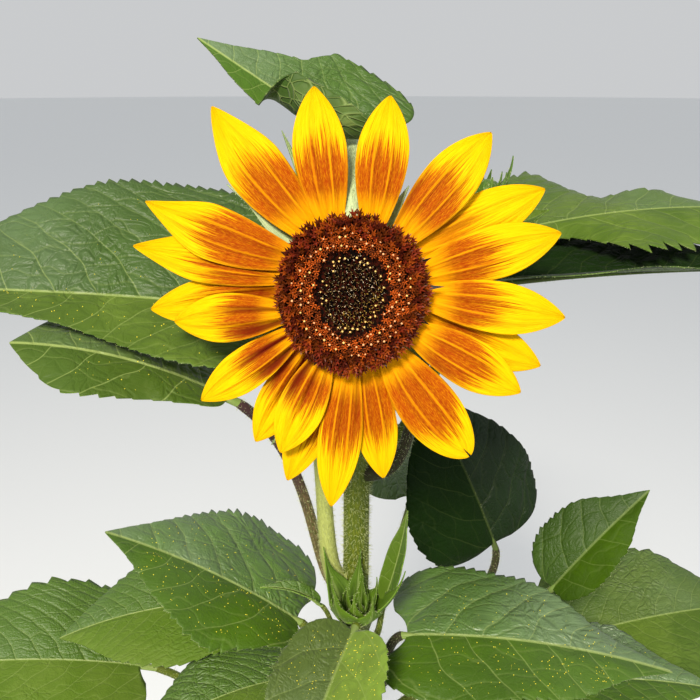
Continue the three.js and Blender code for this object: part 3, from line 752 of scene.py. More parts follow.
def turned_body(profile, sides):
    """A small body turned from [radius, height] pairs, its end rings closed by fans."""
    radii, heights = np.array(profile, float).T[:, :, None]
    angles = FULL_TURN * np.arange(sides) / sides
    flat = np.zeros(sides)
    points = np.stack([radii * np.cos(angles), radii * np.sin(angles), heights + flat], axis=-1)
    k, i = np.meshgrid(np.arange(len(profile) - 1) * sides, np.arange(sides), indexing="ij")
    j = (i + 1) % sides
    walls = np.stack([k + i, k + j, k + sides + j, k + sides + i], axis=-1).reshape(-1, 4)
    top = (len(profile) - 1) * sides
    ends = [(0, n + 1, n) for n in range(1, sides - 1)]
    ends += [(top, top + n, top + n + 1) for n in range(1, sides - 1)]
    return points.reshape(-1, 3), (walls, np.array(ends))


def merged(bodies):
    points, blocks, start = [], [], 0
    for body_points, body_faces in bodies:
        points.append(body_points)
        blocks.extend(faces + start for faces in body_faces)
        start += len(body_points)
    return np.concatenate(points), tuple(blocks)


def ring_of(body, count, shift, lean):
    """Copies of a small body leant away from +Z, shifted, and turned about +Z one after another."""
    points, faces = body
    c, s = math.cos(lean), math.sin(lean)
    x, y, z = points.T
    x, y, z = x * c + z * s + shift[0], y, z * c - x * s + shift[1]
    copies = []
    for k in range(count):
        c, s = math.cos(FULL_TURN * k / count), math.sin(FULL_TURN * k / count)
        copies.append((np.stack([x * c - y * s, x * s + y * c, z], axis=1), faces))
    return copies


STEM_HAIRS = Shape()
LEAF_HAIRS = Shape()
BRACT_HAIRS = Shape()
LEAF_TOPS = []


def add_hairs(shape, roots, aways, rng, length, radius):
    """Short pale bristles at the roots, each leaning its own way."""
    count = len(roots)
    axes = unit(aways + rng.normal(0, 0.38, (count, 3)))
    helpers = np.where(np.abs(axes[:, 2:3]) < 0.9, UP, HEAD_RIGHT)
    x = unit(np.cross(helpers, axes))[:, None, :]
    y = np.cross(axes, x[:, 0])[:, None, :]
    tall = length * rng.uniform(0.35, 1.0, count)[:, None] ** 1.2
    angles = (rng.uniform(0, FULL_TURN, count)[:, None] + np.radians([0, 120, 240]))[:, :, None]
    feet = roots[:, None, :] + radius * (x * np.cos(angles) + y * np.sin(angles))
    tips = (roots + axes * tall)[:, None, :]
    start = shape.add_points(np.concatenate([feet, tips], axis=1))
    sides = np.array([(0, 1, 3), (1, 2, 3), (2, 0, 3), (2, 1, 0)])
    faces = start + 4 * np.arange(count)[:, None, None] + sides
    shape.add_faces(faces.reshape(-1, 3), 0)


def hairs_on_tube(shape, points, outward, rng, density, length, radius):
    """Spreads bristles evenly over a tube's skin."""
    columns = points.shape[1]
    rows = np.linalg.norm(np.diff(points[:, 0], axis=0), axis=1)
    widths = np.linalg.norm(points[:, 1] - points[:, 0], axis=1) * columns
    areas = rows * (widths[:-1] + widths[1:]) / 2
    count = rng.poisson(areas.sum() * density)
    row = rng.choice(len(areas), count, p=areas / areas.sum())
    part = rng.uniform(0, 1, count)[:, None]
    column = rng.integers(0, columns, count)
    roots = points[row, column] * (1 - part) + points[row + 1, column] * part
    add_hairs(shape, roots, outward[row, column], rng, length, radius)


# Stem and limbs
def stem_relief(heights, angles, depth, rng):
    """Ribs that run up the stem, and the swelling under each stalk."""
    phase = rng.uniform(0, 6.28, 4)
    up, around = heights[:, None], angles[None, :]
    twist = up * 0.0016
    ribs = np.sin(13 * (around + twist) + phase[0]) * 0.55
    ribs = ribs + np.sin(31 * (around + twist * 0.6) + phase[1]) * 0.25
    ribs = ribs + np.sin(up * 0.21 + 5 * around + phase[2]) * 0.12
    relief = depth * ribs
    for leaf in (*LEAVES.values(), *LOWER_LEAVES.values()):
        if "on_stem" in leaf.start:
            height, azimuth = leaf.start["on_stem"]
            turn = np.angle(np.exp(1j * (around - math.radians(azimuth))))
            relief = relief + 0.55 * np.exp(-((up - height) / 7) ** 2 - (turn / 0.6) ** 2)
    return relief


def build_main_stem(settings):
    rng = np.random.default_rng(11)
    turns = 84
    heights = np.concatenate([np.linspace(0, 40, 24)[:-1], np.linspace(40, STEM_STRAIGHT_TOP, 380)])
    neck_start = stem_centre(STEM_STRAIGHT_TOP)
    neck_end = around_head(0, 0, CUP_BACK + 0.6)
    u = np.linspace(0, 1, 44)[1:]
    neck, ways = bezier((neck_start, neck_start + UP * 26, neck_end - HEAD_OUT * 16, neck_end), u)
    path = np.concatenate([stem_centre(heights), neck])
    radii = np.concatenate([stem_radius(heights), STEM_TOP_RADIUS + 1.2 * u ** 2])
    forward = np.concatenate([np.tile(UP, (len(heights), 1)), ways])
    sides = np.tile(HEAD_RIGHT, (len(path), 1))
    run = run_along(path)
    relief = stem_relief(run, -ring_angles(turns), settings.rib_depth / MM, rng)
    relief[0] = 0
    shape = Shape()
    points, ring = shape.tube(
        path, sides, unit(np.cross(sides, forward)), radii[:, None] + relief, 0, turns, run / 60,
    )
    skin = stalk_material("stem_skin", settings, settings.green, settings.streak)
    hair = settings.hair_length / MM
    hairs_on_tube(STEM_HAIRS, points[12:], ring[12:], rng, settings.hairs_per_area, hair, 0.1)
    return shape.settle("stem_main", [skin], "stem", "main_stem")


def build_limb(name, node, limb, reference, settings, seed):
    rng = np.random.default_rng(seed)
    rings, turns = 70, 36
    u = np.linspace(0, 1, rings)
    path, ways = bezier(limb["ends"], u)
    sides, tops = cross_frame(ways, reference)
    radius, end_radius = limb["radii"]
    radii = radius + (end_radius - radius) * u + 1.3 * np.exp(-u * 26)
    path[0] -= ways[0] * 0.9
    angles = FULL_TURN * np.arange(turns) / turns
    relief = 0.16 * np.sin(9 * angles[None, :] + 0.03 * np.arange(rings)[:, None])
    shape = Shape()
    points, ring = shape.tube(path, sides, tops, radii[:, None] + relief, 0, turns, u * 3)
    skin = stalk_material(name + "_skin", settings, settings.green, settings.streak)
    hair = settings.hair_length / MM * 0.8
    hairs_on_tube(STEM_HAIRS, points[6:], ring[6:], rng, settings.hairs_per_area, hair, 0.06)
    return shape.settle(name, [skin], "stem", node)


# Leaves
class Leaf(NamedTuple):
    """One leaf, in millimetres. A pair of widths is for its left and its right half."""

    start: dict                     # where the stalk leaves its stem or limb
    base: tuple
    tip: tuple
    face: tuple
    width: float
    shares: tuple = (1, 1)          # width of each half, of the leaf's half width
    tip_shares: tuple = ()          # the same towards the tip, where it differs
    turn: tuple = LEAF_TURN         # where the halves start to change, and over what length
    bend: tuple = (8, -14)          # fold and curl in degrees, and curl near the tip
    right_bend: tuple = ()          # the same for the right half, where it differs
    arch: float | None = None
    widest: float = 0.34
    pinch: float = 0.3
    ripple: float = 0.05
    ripple_phase: float = 0
    lobe: float = 0.45
    stalk: float = 2.4
    reach: tuple = (0.35, 0.4)      # how far the stalk keeps its first and last way, of its span
    teeth: int = 17
    tooth: float | None = None
    veins: float = 11
    relief: float = 1
    kind: str = ""
    stalk_kind: str = ""


TOP_LEAF_SEAT = {
    "seat": around_head(90, CUP_RADIUS + SEAT_GAP + 0.1, -9.2), "away": HEAD_UP, "up": HEAD_OUT,
}

# Leaves of the bloom's stem and of the young shoot, as the source gives them: seat, base, tip,
# facing and width
LEAVES = {
    "leaf_left_big": Leaf(
        seat_on_stem(846, 190), (-42, 14, 979), (-203, 12, 988), (0, -0.6, 0.8), 96,
        shares=(0.95, 1.3), tip_shares=(0.46, 1.3), turn=(0.08, 0.4), stalk=3.6, arch=4,
        bend=(23, -8), right_bend=(8, -8), widest=0.26, reach=(0.12, 0.3), stalk_kind="pale",
        teeth=36, tooth=0.05, veins=9, relief=1.1, kind="broad",
    ),
    "leaf_left_lower": Leaf(
        seat_on_stem(836, 150), (-52, -4, 947), (-134, -9, 972), (0.36, -0.35, 0.87), 60,
        shares=(0.5, 1), tip_shares=(0.95, 1.4), turn=(0.3, 0.45), pinch=0, stalk=2.6, arch=7,
        bend=(4, -16), right_bend=(0, -10), widest=0.42, reach=(0.18, 0.4), kind="smooth",
        stalk_kind="purple", teeth=12, veins=5, relief=0.6,
    ),
    "leaf_right_upper": Leaf(
        seat_on_stem(930, 20), (62, 20, 1009), (170, 24, 1018), (0.05, -0.28, 0.96), 70,
        shares=(1.4, 0.25), tip_shares=(0.5, 0.95), turn=(0.24, 0.22), arch=5, bend=(4, -12),
        ripple=0.08, reach=(0.3, 0.35), kind="matt", teeth=19, tooth=0.2, veins=8,
    ),
    "leaf_right_lower": Leaf(
        seat_on_stem(905, -15), (56, 1, 994), (172, -6, 1000), (0, 0, 1), 56, arch=2,
        bend=(20, 0), right_bend=(17, 0), ripple=0.03, reach=(0.3, 0.4), kind="shade",
    ),
    "leaf_top": Leaf(
        TOP_LEAF_SEAT, (-5, 14, 1049), (-60, 32, 1083), (-0.3, -0.5, 0.8), 50,
        shares=(1.15, 1.3), tip_shares=(0.52, 0.86), turn=(0.37, 0.12), stalk=3.4, arch=0,
        bend=(10, 150, 0), right_bend=(2, -6), widest=0.22, ripple=0.03, reach=(0.4, 0.3),
        lobe=1.3, kind="grey", veins=6, stalk_kind="downy", tooth=0.05, relief=0.5,
    ),
    "leaf_back_upper": Leaf(
        seat_on_stem(918, 95), (-2, 62, 958), (-24, 166, 946), (0, 0.25, 0.97), 82, arch=14,
    ),
    "leaf_back_lower": Leaf(
        seat_on_stem(812, 62), (34, 66, 852), (70, 168, 838), (0.05, 0.2, 0.97), 88, arch=14,
    ),
    "leaf_shaded": Leaf(
        seat_on_stem(772, 35), (78, 52, 832), (37, 73, 917), (0.3, -0.85, 0.42), 82,
        shares=(1.02, 0.92), arch=5, reach=(0.5, 0.25), widest=0.3, lobe=0.1, kind="shade",
        veins=6, tooth=0.04,
    ),
    "leaf_shaded_small": Leaf(
        seat_on_stem(742, 42), (102, 23, 826), (148, 33, 878), (-0.45, -0.6, 0.66), 48,
        shares=(1, 0.65), arch=4, reach=(0.55, 0.3), lobe=0.2, kind="dim", veins=5,
    ),
    "leaf_quilted": Leaf(
        seat_on_stem(706, -22), (72, -4, 786), (172, -16, 800), (0, -0.1, 1), 70, arch=8,
        ripple=0.08, relief=1.5,
    ),
    "leaf_far_right": Leaf(
        seat_on_stem(680, 25), (118, 44, 772), (240, 66, 778), (0, -0.3, 0.95), 96, arch=8,
        reach=(0.4, 0.4), relief=0.6, kind="matt",
    ),
    "leaf_pale_left": Leaf(
        seat_on_stem(730, 155), (-60, 30, 812), (-150, 16, 800), (0, -0.25, 0.96), 66, arch=8,
        kind="fresh",
    ),
    "leaf_pale_far_left": Leaf(
        seat_on_stem(664, 178), (-112, 22, 776), (-232, 4, 790), (0.05, -0.3, 0.95), 92, arch=9,
        kind="fresh",
    ),
    "leaf_pale_front": Leaf(
        seat_on_stem(745, -150), (-28, -6, 797), (-100, -38, 788), (0, -0.05, 1), 58, arch=8,
        kind="fresh",
    ),
    "leaf_low_left": Leaf(
        seat_on_limb(YOUNG_SHOOT, 0.86, 175), (-25, -8, 834), (-110, -4, 880), (0.46, -0.17, 0.87),
        80, shares=(0.5, 1.12), tip_shares=(0.92, 1.12), turn=(0.08, 0.4), arch=5, bend=(6, -16),
        widest=0.29, lobe=0.42, veins=6, teeth=24, tooth=0.1, relief=1.2,
    ),
    "leaf_low_right": Leaf(
        seat_on_limb(YOUNG_SHOOT, 0.82, -5), (25, -12, 829), (139, -34, 829), (-0.03, -0.12, 0.99),
        80, shares=(1.08, 0.82), tip_shares=(0.72, 0.86), turn=(0.42, 0.4), arch=7, bend=(4, -14),
        widest=0.27, lobe=0.6, veins=6.5, stalk_kind="dark", teeth=26, tooth=0.09, relief=1.3,
    ),
    "leaf_front": Leaf(
        seat_on_limb(YOUNG_SHOOT, 0.92, -95), (1, -28, 847), (-26, -93, 814), (-0.05, -0.1, 1), 48,
        arch=5, bend=(14, 6), lobe=0.2, kind="velvet", veins=5, tooth=0.08, teeth=22,
    ),
    "young_leaf_upright": Leaf(
        seat_on_limb(YOUNG_SHOOT, 0.94, 20), (15, -12, 849), (24, -11, 896), (-0.5, -0.85, 0.2), 12,
        stalk=1.5, arch=-3, bend=(30, 20), tooth=0, kind="fresh", veins=5, relief=0.3,
    ),
    "young_leaf_left": Leaf(
        seat_on_limb(YOUNG_SHOOT, 0.95, 215), (-14, -22, 856), (-39, -25, 867), (0.2, 0, 1), 9,
        stalk=1.2, arch=3, bend=(20, 20), tooth=0, kind="fresh", veins=4, relief=0.3,
    ),
    "bud_leaf": Leaf(
        seat_on_limb(BUD_BRANCH, 0.96, -60), (62, 9, 1015), (75, 2, 1022), (-0.3, -0.6, 0.7), 9,
        stalk=1.1, arch=-1.5, bend=(20, 20), tooth=0, kind="fresh", veins=4, relief=0.3,
    ),
}

LOWER_LEAF_COUNT = 8
LOWER_LEAF_FIRST_HEIGHT = 196
LOWER_LEAF_RISE = 59
LOWER_LEAF_FIRST_AZIMUTH = 40
LOWER_LEAF_TURN = 137.5
LOWER_LEAF_WIDTH = 116


def lower_leaf(k):
    height = LOWER_LEAF_FIRST_HEIGHT + k * LOWER_LEAF_RISE
    azimuth = LOWER_LEAF_FIRST_AZIMUTH + k * LOWER_LEAF_TURN
    away = level_way(azimuth)
    base = stem_centre(height) + away * (86 + 3 * k) + UP * 46
    tip = base + away * (146 + 7 * (k % 3)) - UP * (38 - 3 * k)
    return Leaf(
        seat_on_stem(height, azimuth), base, tip, away * 0.3 + UP, LOWER_LEAF_WIDTH,
        stalk=3.1, arch=17, bend=(8, -18), ripple_phase=70 * k, teeth=22,
    )


LOWER_LEAVES = {f"lower_leaf_{k + 1}": lower_leaf(k) for k in range(LOWER_LEAF_COUNT)}

# Rows and columns of points over a blade
LEAF_MESH = (96, 49)
LOWER_LEAF_MESH = (84, 41)
DENSE_MESH = (190, 65)
SMALL_MESH = (48, 21)
OWN_MESH = {
    **dict.fromkeys(
        ("leaf_left_big", "leaf_low_left", "leaf_low_right", "leaf_right_upper", "leaf_top"),
        DENSE_MESH,
    ),
    **dict.fromkeys(("young_leaf_upright", "young_leaf_left", "bud_leaf"), SMALL_MESH),
}


def leaf_teeth(s, t, count, depth, seed):
    """Pointed teeth along the margin that lean towards the tip, each of its own size."""
    rng = np.random.default_rng(seed)
    shift = rng.uniform(0, 1, 2)
    sizes = rng.uniform(0.3, 1.35, 2 * count + 8)
    along = s[:, None]
    phase = along * count + shift[0] + 0.45 * np.sin(along * 9 + shift[1] * 6)
    phase = phase + np.where(t < 0, 0.37, 0.0)
    number = np.floor(phase).astype(int) + np.where(t < 0, count + 3, 2)
    size = depth * sizes[np.clip(number, 0, len(sizes) - 1)]
    size = size * np.sin(math.pi * np.clip(along, 0.02, 0.96)) ** 0.5
    return 1 + size * ((phase % 1.0) ** 0.85 - 0.5) * np.abs(t) ** 6


def quilting(along, across, spacing, depth):
    """How far the blade rises between its veins, in millimetres."""
    off = np.abs(across) / spacing
    w = along / spacing - (VEIN_LEAN + VEIN_ARC * off) * off + np.where(across < 0, 0.5, 0.0)
    between = np.abs(np.sin(math.pi * (w - 0.5))) ** 0.6
    blisters = np.sin(FULL_TURN * (off * 1.7 + 0.37 * np.floor(w + 0.5)))
    return depth * smooth(off / 0.3) * between * (0.88 + 0.12 * blisters)


def build_leaf(name, leaf, skins, settings, stem, seed, rows, columns):
    """One leaf: blade, midrib and stalk."""
    rng = np.random.default_rng(seed)
    base, tip, face = [np.array(v, float) for v in (leaf.base, leaf.tip, leaf.face)]
    face = unit(face)
    chord = tip - base
    length = np.linalg.norm(chord)
    spacing = length / leaf.veins
    arch = length * LEAF_ARCH_SHARE if leaf.arch is None else leaf.arch
    tooth = settings.tooth if leaf.tooth is None else leaf.tooth
    tip_shares = leaf.tip_shares or leaf.shares
    s = np.linspace(0.006, 0.998, rows)
    t = np.linspace(-1, 1, columns)
    points, normals, across, (spine, sides, tops) = blade_surface(
        s, t, base, tip, face,
        np.maximum(leaf.width / 2 * leaf_outline(s, leaf.widest, leaf.pinch), 0.25), arch,
        side_bend(leaf.bend, leaf.shares[0], tip_shares[0]),
        side_bend(leaf.right_bend or leaf.bend, leaf.shares[1], tip_shares[1]),
        ripple=leaf.ripple, ripple_phase=leaf.ripple_phase, lobe=leaf.lobe, turn=leaf.turn,
        cut=leaf_teeth(s, t, leaf.teeth, tooth, seed),
    )
    along = np.repeat(s[:, None] * length, columns, axis=1)
    fade = smooth(np.minimum(s / 0.08, (1 - s) / 0.1))[:, None]
    rise = quilting(along, across, spacing, settings.vein_depth / MM * leaf.relief) * fade
    points = points + normals * (rise * (1 - 0.6 * np.abs(t) ** 6))[:, :, None]
    metric = np.stack([along, across], axis=-1) / spacing
    shape = Shape()
    thickness = settings.thickness / MM
    above = thin_shell(shape, points, normals, thickness, spread(s, (t + 1) / 2), metric=metric)

    start = leaf.start
    span = np.linalg.norm(start["seat"] - base)
    _, top0 = cross_frame(unit(chord), face)
    leaving = start["seat"] + start["away"] * span * leaf.reach[0]
    arriving = base - unit(chord + 4 * arch * top0) * span * leaf.reach[1]
    u = np.linspace(0, 1, 46)
    stalk, stalk_ways = bezier((start["seat"], leaving, arriving, base), u)
    stalk[0] -= start["away"] * 1.2
    facing = unit(start["up"] + (face - start["up"]) * smooth(u)[:, None])
    stalk_sides, stalk_tops = cross_frame(stalk_ways, facing)
    swell = STALK_FOOT_SWELL * (1 - u) ** 3 + 0.5 * np.exp(-u * 30)

    rib_share = np.linspace(0.03, 0.985, 50)
    at = np.interp(rib_share, s, np.arange(rows))
    low = np.floor(at).astype(int)
    part = (at - low)[:, None]
    spine, sides, tops = [
        v[low] * (1 - part) + v[np.minimum(low + 1, rows - 1)] * part for v in (spine, sides, tops)
    ]
    rib_radii = np.maximum(leaf.stalk * 0.54 * (1 - rib_share) ** 1.3, 0.16)
    rib = spine - unit(tops) * (rib_radii * (0.86 - 0.35 * rib_share))[:, None]

    joint = len(stalk) - 2
    path = np.concatenate([stalk[:joint], rib])
    radii = np.concatenate([(leaf.stalk * (1 + swell - 0.15 * u))[:joint], rib_radii])
    radii[1:-1] = (radii[:-2] + radii[1:-1] + radii[2:]) / 3
    limb_points, outward = shape.tube(
        path, np.concatenate([stalk_sides[:joint], unit(sides)]),
        np.concatenate([stalk_tops[:joint], unit(tops)]), radii,
        np.where(np.arange(len(path) - 1) < joint - 1, 2, 3), 14, run_along(path) / 40,
    )
    density = stem.hairs_per_area * 0.9
    hair = stem.hair_length / MM
    for reach, close, long, radius in (
        (slice(3, joint), density, hair * 0.7, 0.068),
        (slice(joint, -6), density * 0.8, hair * 0.4, 0.06),
    ):
        hairs_on_tube(LEAF_HAIRS, limb_points[reach], outward[reach], rng, close, long, radius)
    for column in (0, columns - 1):
        row = rng.integers(2, rows - 2, int(length * 1.1))
        away = unit(points[row, column] - points[row, columns // 2])
        add_hairs(LEAF_HAIRS, points[row, column], away, rng, hair * 0.38, 0.05)
    LEAF_TOPS.append((name, above, normals))
    return shape.settle(name + "_blade", skins, "leaf", name)


def leaf_skins(settings, stem):
    """The skins of both sides of a blade, of the stalks and of the midribs, by kind."""
    green, near, deep = settings.green, settings.near_green, settings.deep_green
    velvet, dark, pale = settings.velvet, settings.shade_green, settings.bract_pale
    under = {
        "plain": leaf_under("leaf_underside", settings, green),
        "quilted": leaf_under("leaf_underside_quilted", settings, deep),
        "fresh": leaf_under("leaf_underside_fresh", settings, settings.fresh_green),
        "shade": leaf_under("leaf_underside_shade", settings, dark, 0.3),
    }
    # Near, far and deep tone, side of the far half, grey cast, strength of lines, gloss, sheen. The
    # near tone is painted light through the blade and the grey cast a painted sheen on the far half;
    # the broad, shadowed, velvet and shade kinds are also darkened or lit in their tones, as painted
    # light and shade.
    kinds = {
        "grown_left": ("plain", (near, green, deep), 1, 0.62, 0.9, 2.1),
        "grown_right": ("plain", (near, green, deep), -1, 0.66, 0.9, 1.8),
        "grey": ("quilted", (green, shade(green, 0.8), deep), 1, 0.75, 1, 0.5),
        "matt": ("plain", (shade(velvet, 0.72), shade(velvet, 0.62), deep), -1, 0.45, 0.7, 0.5),
        "fresh": ("fresh", (shade(velvet, 0.82), near, near), 1, 0.2),
        "smooth": ("fresh", (shade(velvet, 0.55), shade(velvet, 0.6), deep), 1, 0.3, 1.2),
        "broad": (
            "plain", (shade(velvet, 0.76), shade(green, 0.55), shade(deep, 0.8)), 1, 0.36, 0.9, 0.7,
        ),
        "dim": (
            "plain", (shade(near, 0.7), shade(green, 0.5), shade(deep, 0.6)), -1, 0.1, 0.4, 0.5,
        ),
        "velvet": (
            "fresh", (shade(velvet, 1.3), shade(velvet, 0.4), shade(velvet, 0.4)), 1, 0.3, 0.55,
            0.4, 0.14,
        ),
        "shade": ("shade", (dark, dark, shade(dark, 0.6)), 1, 0.02, 0.14, 0.4),
    }
    blades = {
        kind: [leaf_upper("leaf_" + kind, settings, *looks), under[side]]
        for kind, (side, *looks) in kinds.items()
    }
    stalks = {
        kind: stalk_material("stalk_" + kind, stem, *looks) for kind, looks in {
            "green": (stem.green, stem.streak),
            "pale": (stem.pale, shade(stem.pale, 0.72)),
            "downy": (pale, shade(pale, 0.6)),
            # Painted shade: dark stalks for leaves of the shade kind; leaf_low_right takes one as a
            # plain dark stalk
            "dark": (shade(stem.streak, 0.5), shade(stem.purple, 0.6)),
            "purple": (stem.tan, stem.streak, 1.0),
        }.items()
    }
    # Darker ribs: the dull one is painted shade for the shade kind and the faint one for the shadowed
    # kind; the velvet kind takes the faint one as a softer line
    bright, faint, dull = [
        streaked_material(
            "rib_" + title, (4, 9), (0.35, 0.7), shade(settings.vein, share), shade(green, 1.2), 0.2,
        )
        for title, share in (("bright", 0.9), ("faint", 0.62), ("dull", 0.25))
    ]
    ribs = {**dict.fromkeys(kinds, bright), "shade": dull, "velvet": faint, "dim": faint}
    return blades, stalks, ribs


def build_leaves(leaves, skins, settings, stem, first_seed, mesh):
    blades, stalks, ribs = skins
    made = []
    for index, (name, leaf) in enumerate(leaves.items()):
        kind = leaf.kind or ("grown_left" if leaf.tip[0] < leaf.base[0] else "grown_right")
        # Leaves of the shade kind get the dark stalk, as painted shade
        stalk = leaf.stalk_kind or ("dark" if kind == "shade" else "green")
        materials = [*blades[kind], stalks[stalk], ribs[kind]]
        size = OWN_MESH.get(name, mesh)
        made.append(build_leaf(name, leaf, materials, settings, stem, first_seed + index, *size))
    return made


# Petals
class Petal(NamedTuple):
    """One ray: the angles of its foot and tip, then its reach and width in millimetres."""

    foot: float
    tip: float
    reach: float
    width: float
    layer: int
    flush: float                    # how far the orange-red reaches
    sway: float = 0
    pinch: float = 0
    pleat: float = 1
    notch: float = 0
    claw: float = 0.15              # how far the foot stays yellow
    strength: float = 1
    fold: float = 0.12              # how dark the middle groove is painted, as shade
    folds: tuple = ()               # creases, painted darker as shade: place across, half width and depth


# Ray petals, clockwise from the upper left, as the source gives them
PETALS = (
    Petal(122, 127, 79.5, 20.5, 1, 0.61, sway=-1.6, pinch=0.25),
    Petal(107, 100.5, 70.6, 18.5, 0, 0.62, sway=-0.8, fold=0.08),
    Petal(72, 79, 67.6, 18, 0, 0.63, fold=0.08),
    Petal(48, 49, 71.8, 18.5, 0, 0.62, folds=((-0.85, 0.22, 0.5),)),
    Petal(35, 28.3, 76.2, 18, 2, 0.5, strength=0.7),
    Petal(15.6, 16, 75.2, 18.5, 1, 0.57),
    Petal(-2, -6.5, 74, 18, 0, 0.55),
    Petal(-18, -21, 71.5, 17, 2, 0.56, fold=0.15),
    Petal(-32, -30.4, 68, 17.5, 0, 0.7, folds=((0.8, 0.2, 0.4),)),
    Petal(-57, -53.9, 71, 21, 1, 0.76, sway=1.2, notch=3.6),
    Petal(-78, -80.3, 67, 15.5, 2, 0.68, fold=0.15),
    Petal(-92, -95.6, 76, 15.5, 1, 0.62, fold=0.3, folds=((-0.75, 0.2, 0.4),)),
    Petal(-102, -109.1, 71.5, 16, 3, 0.66, fold=0.5),
    Petal(-114, -114.2, 61, 16.5, 0, 0.56, pleat=1.5, folds=((0.7, 0.3, 0.9), (0, 0.16, 0.6))),
    Petal(-128, -123.1, 63, 15.5, 2, 0.56, pleat=1.6, folds=((-0.1, 0.26, 1), (0.75, 0.3, 0.9))),
    Petal(-144, -144.7, 65, 15, 1, 0.55, pleat=1.7, folds=((0.3, 0.26, 1), (-0.7, 0.3, 0.9))),
    Petal(-163, -171, 62, 17, 0, 0.6, pleat=1.5, folds=((-0.7, 0.3, 0.9), (0.3, 0.2, 0.7))),
    Petal(-182, -175.5, 71, 16.5, 2, 0.6, pleat=1.3, claw=0.03, folds=((0, 0.2, 0.5),)),
    Petal(-196, -192.2, 77.5, 16.5, 1, 0.56, pinch=0.3, fold=0.2, claw=0.06),
    Petal(-210, -203.9, 77, 19, 0, 0.62, sway=-1.5, pinch=0.4, fold=0.2, claw=0.03),
)


def petal_half(s, petal):
    """Half width of a petal at the shares s along it."""
    past = np.clip((s - PETAL_WIDEST) / (1 - PETAL_WIDEST), 0, 1)
    rise = np.sin(math.pi / 2 * np.clip(s / PETAL_WIDEST, 0, 1))
    inner = PETAL_CLAW + (1 - PETAL_CLAW) * rise
    outer = (1 - petal.pinch * smooth(past)) * (1 - past * past) ** (0.6 if petal.notch else 0.85)
    return np.maximum(petal.width / 2 * np.where(s < PETAL_WIDEST, inner, outer), 0.15)


def build_petal(index, petal, under, settings):
    rng = np.random.default_rng(300 + index)
    depth = PETAL_FIRST_LAYER - petal.layer * PETAL_LAYER_STEP
    turn = abs(math.sin(math.radians(petal.tip - petal.foot))) * 1.6
    room = turn * petal.width * PETAL_CLAW / 2
    s, t = np.linspace(0, 0.998, 84), np.linspace(-1, 1, 41)
    along = s[:, None]
    notch = -petal.notch * smooth((along - 0.78) / 0.22) * (1 - smooth(np.abs(t) / 0.7))
    points, normals, *_ = blade_surface(
        s, t, around_head(petal.foot, CUP_RADIUS + SEAT_GAP - 1.2 + room, depth),
        around_head(petal.tip, petal.reach, depth + 1.5 - petal.layer * 0.6), HEAD_OUT,
        petal_half(s, petal), 1.6, side_bend((2, -16)), side_bend((2, -16)), petal.sway,
        ripple=0.03, ripple_phase=40 * index, reach=notch,
    )
    body = smooth(along / 0.12) * smooth((1 - along) / 0.35)
    share = t + rng.uniform(-0.12, 0.12) * np.sin(along * 3 + index)
    ridges = np.exp(-((np.abs(share) - 0.33) / 0.11) ** 2)
    middle = -0.8 * np.exp(-(share / 0.12) ** 2)
    edges = -0.5 * np.exp(-((np.abs(share) - 0.66) / 0.12) ** 2)
    fine = 0.14 * np.sin(share * 27 + rng.uniform(0, 6))
    lift = settings.petal_pleat / MM * petal.pleat * body * (ridges + middle + edges + fine)
    for place, half_width, deep in petal.folds:
        groove = np.exp(-((share - place) / half_width) ** 2) * smooth(along / 0.1)
        lift = lift - 1.7 * deep * groove * (1 - smooth((along - 0.3) / 0.45))
    lift = lift - 0.45 * smooth((along - 0.7) / 0.25) * np.exp(-(t / 0.5) ** 2)
    shape = Shape()
    thin_shell(
        shape, points + normals * lift[:, :, None], normals, settings.petal_thickness / MM,
        spread(s, (t + 1) / 2),
    )
    name = f"petal_{index + 1:02d}"
    skin = petal_material(name + "_upper", settings, index * 7.3, petal)
    return shape.settle(name + "_ray", [skin, under], "petal", name)


# Disc
DISC_PROFILE = ((0, -0.2), (11, 0.6), (16, 2.2), (22, 2.6), (25.4, 0.6), (26, -2.6))
RIM_START = 19.8
GLINT_SIDE = math.radians(-50)      # the side of the heart where the glints are yellowest
# Angle and reach of the few scales that stand out beyond the rim
LONG_PALEAE = ((4, 31.5), (24, 29.5), (-22, 28.5), (150, 28), (-65, 28.5), (-118, 28))


def disc_height(radius):
    radii, heights = zip(*DISC_PROFILE)
    return np.interp(radius, radii, heights)


def lathe_on_head(shape, profile, turns):
    """A closed body turned about the head's axis, from its back to its front."""
    radius, out = np.array(profile, float).T[:, :, None]
    angles = FULL_TURN * np.arange(turns) / turns
    points = (
        HEAD_CENTRE
        + HEAD_RIGHT * (radius * np.cos(angles))[:, :, None]
        + HEAD_UP * (radius * np.sin(angles))[:, :, None]
        + HEAD_OUT * (out * np.ones(turns))[:, :, None]
    )
    shape.closed_skin(points, spread(np.linspace(0, 1, len(profile)), np.arange(turns) / turns), 0)


def floret_bodies():
    """The closed floret of the heart, the open one's tube and star, and the dark one of the rim."""
    closed = turned_body(((0.34, -1.2), (0.44, 0.2), (0.46, 0.9), (0.3, 1.5), (0.08, 1.9)), 6)
    tube = turned_body(((0.42, -1.6), (0.56, 0.6), (0.78, 1.6), (0.66, 1.8), (0.2, 1.3)), 7)
    anthers = turned_body(((0.22, 0.8), (0.28, 2.2), (0.14, 2.8)), 5)
    lobes = ring_of(spike_body(0.36, 0.95, 0.35), 5, (0.5, 1.6), 0.7)
    branches = ring_of(spike_body(0.14, 0.8, 0.4), 2, (0.06, 2.6), 0.6)
    long_lobes = ring_of(spike_body(0.4, 1.7, 0.3), 5, (0.45, 1.4), 0.42)
    return closed, tube, merged([*lobes, anthers, *branches]), merged([tube, *long_lobes])


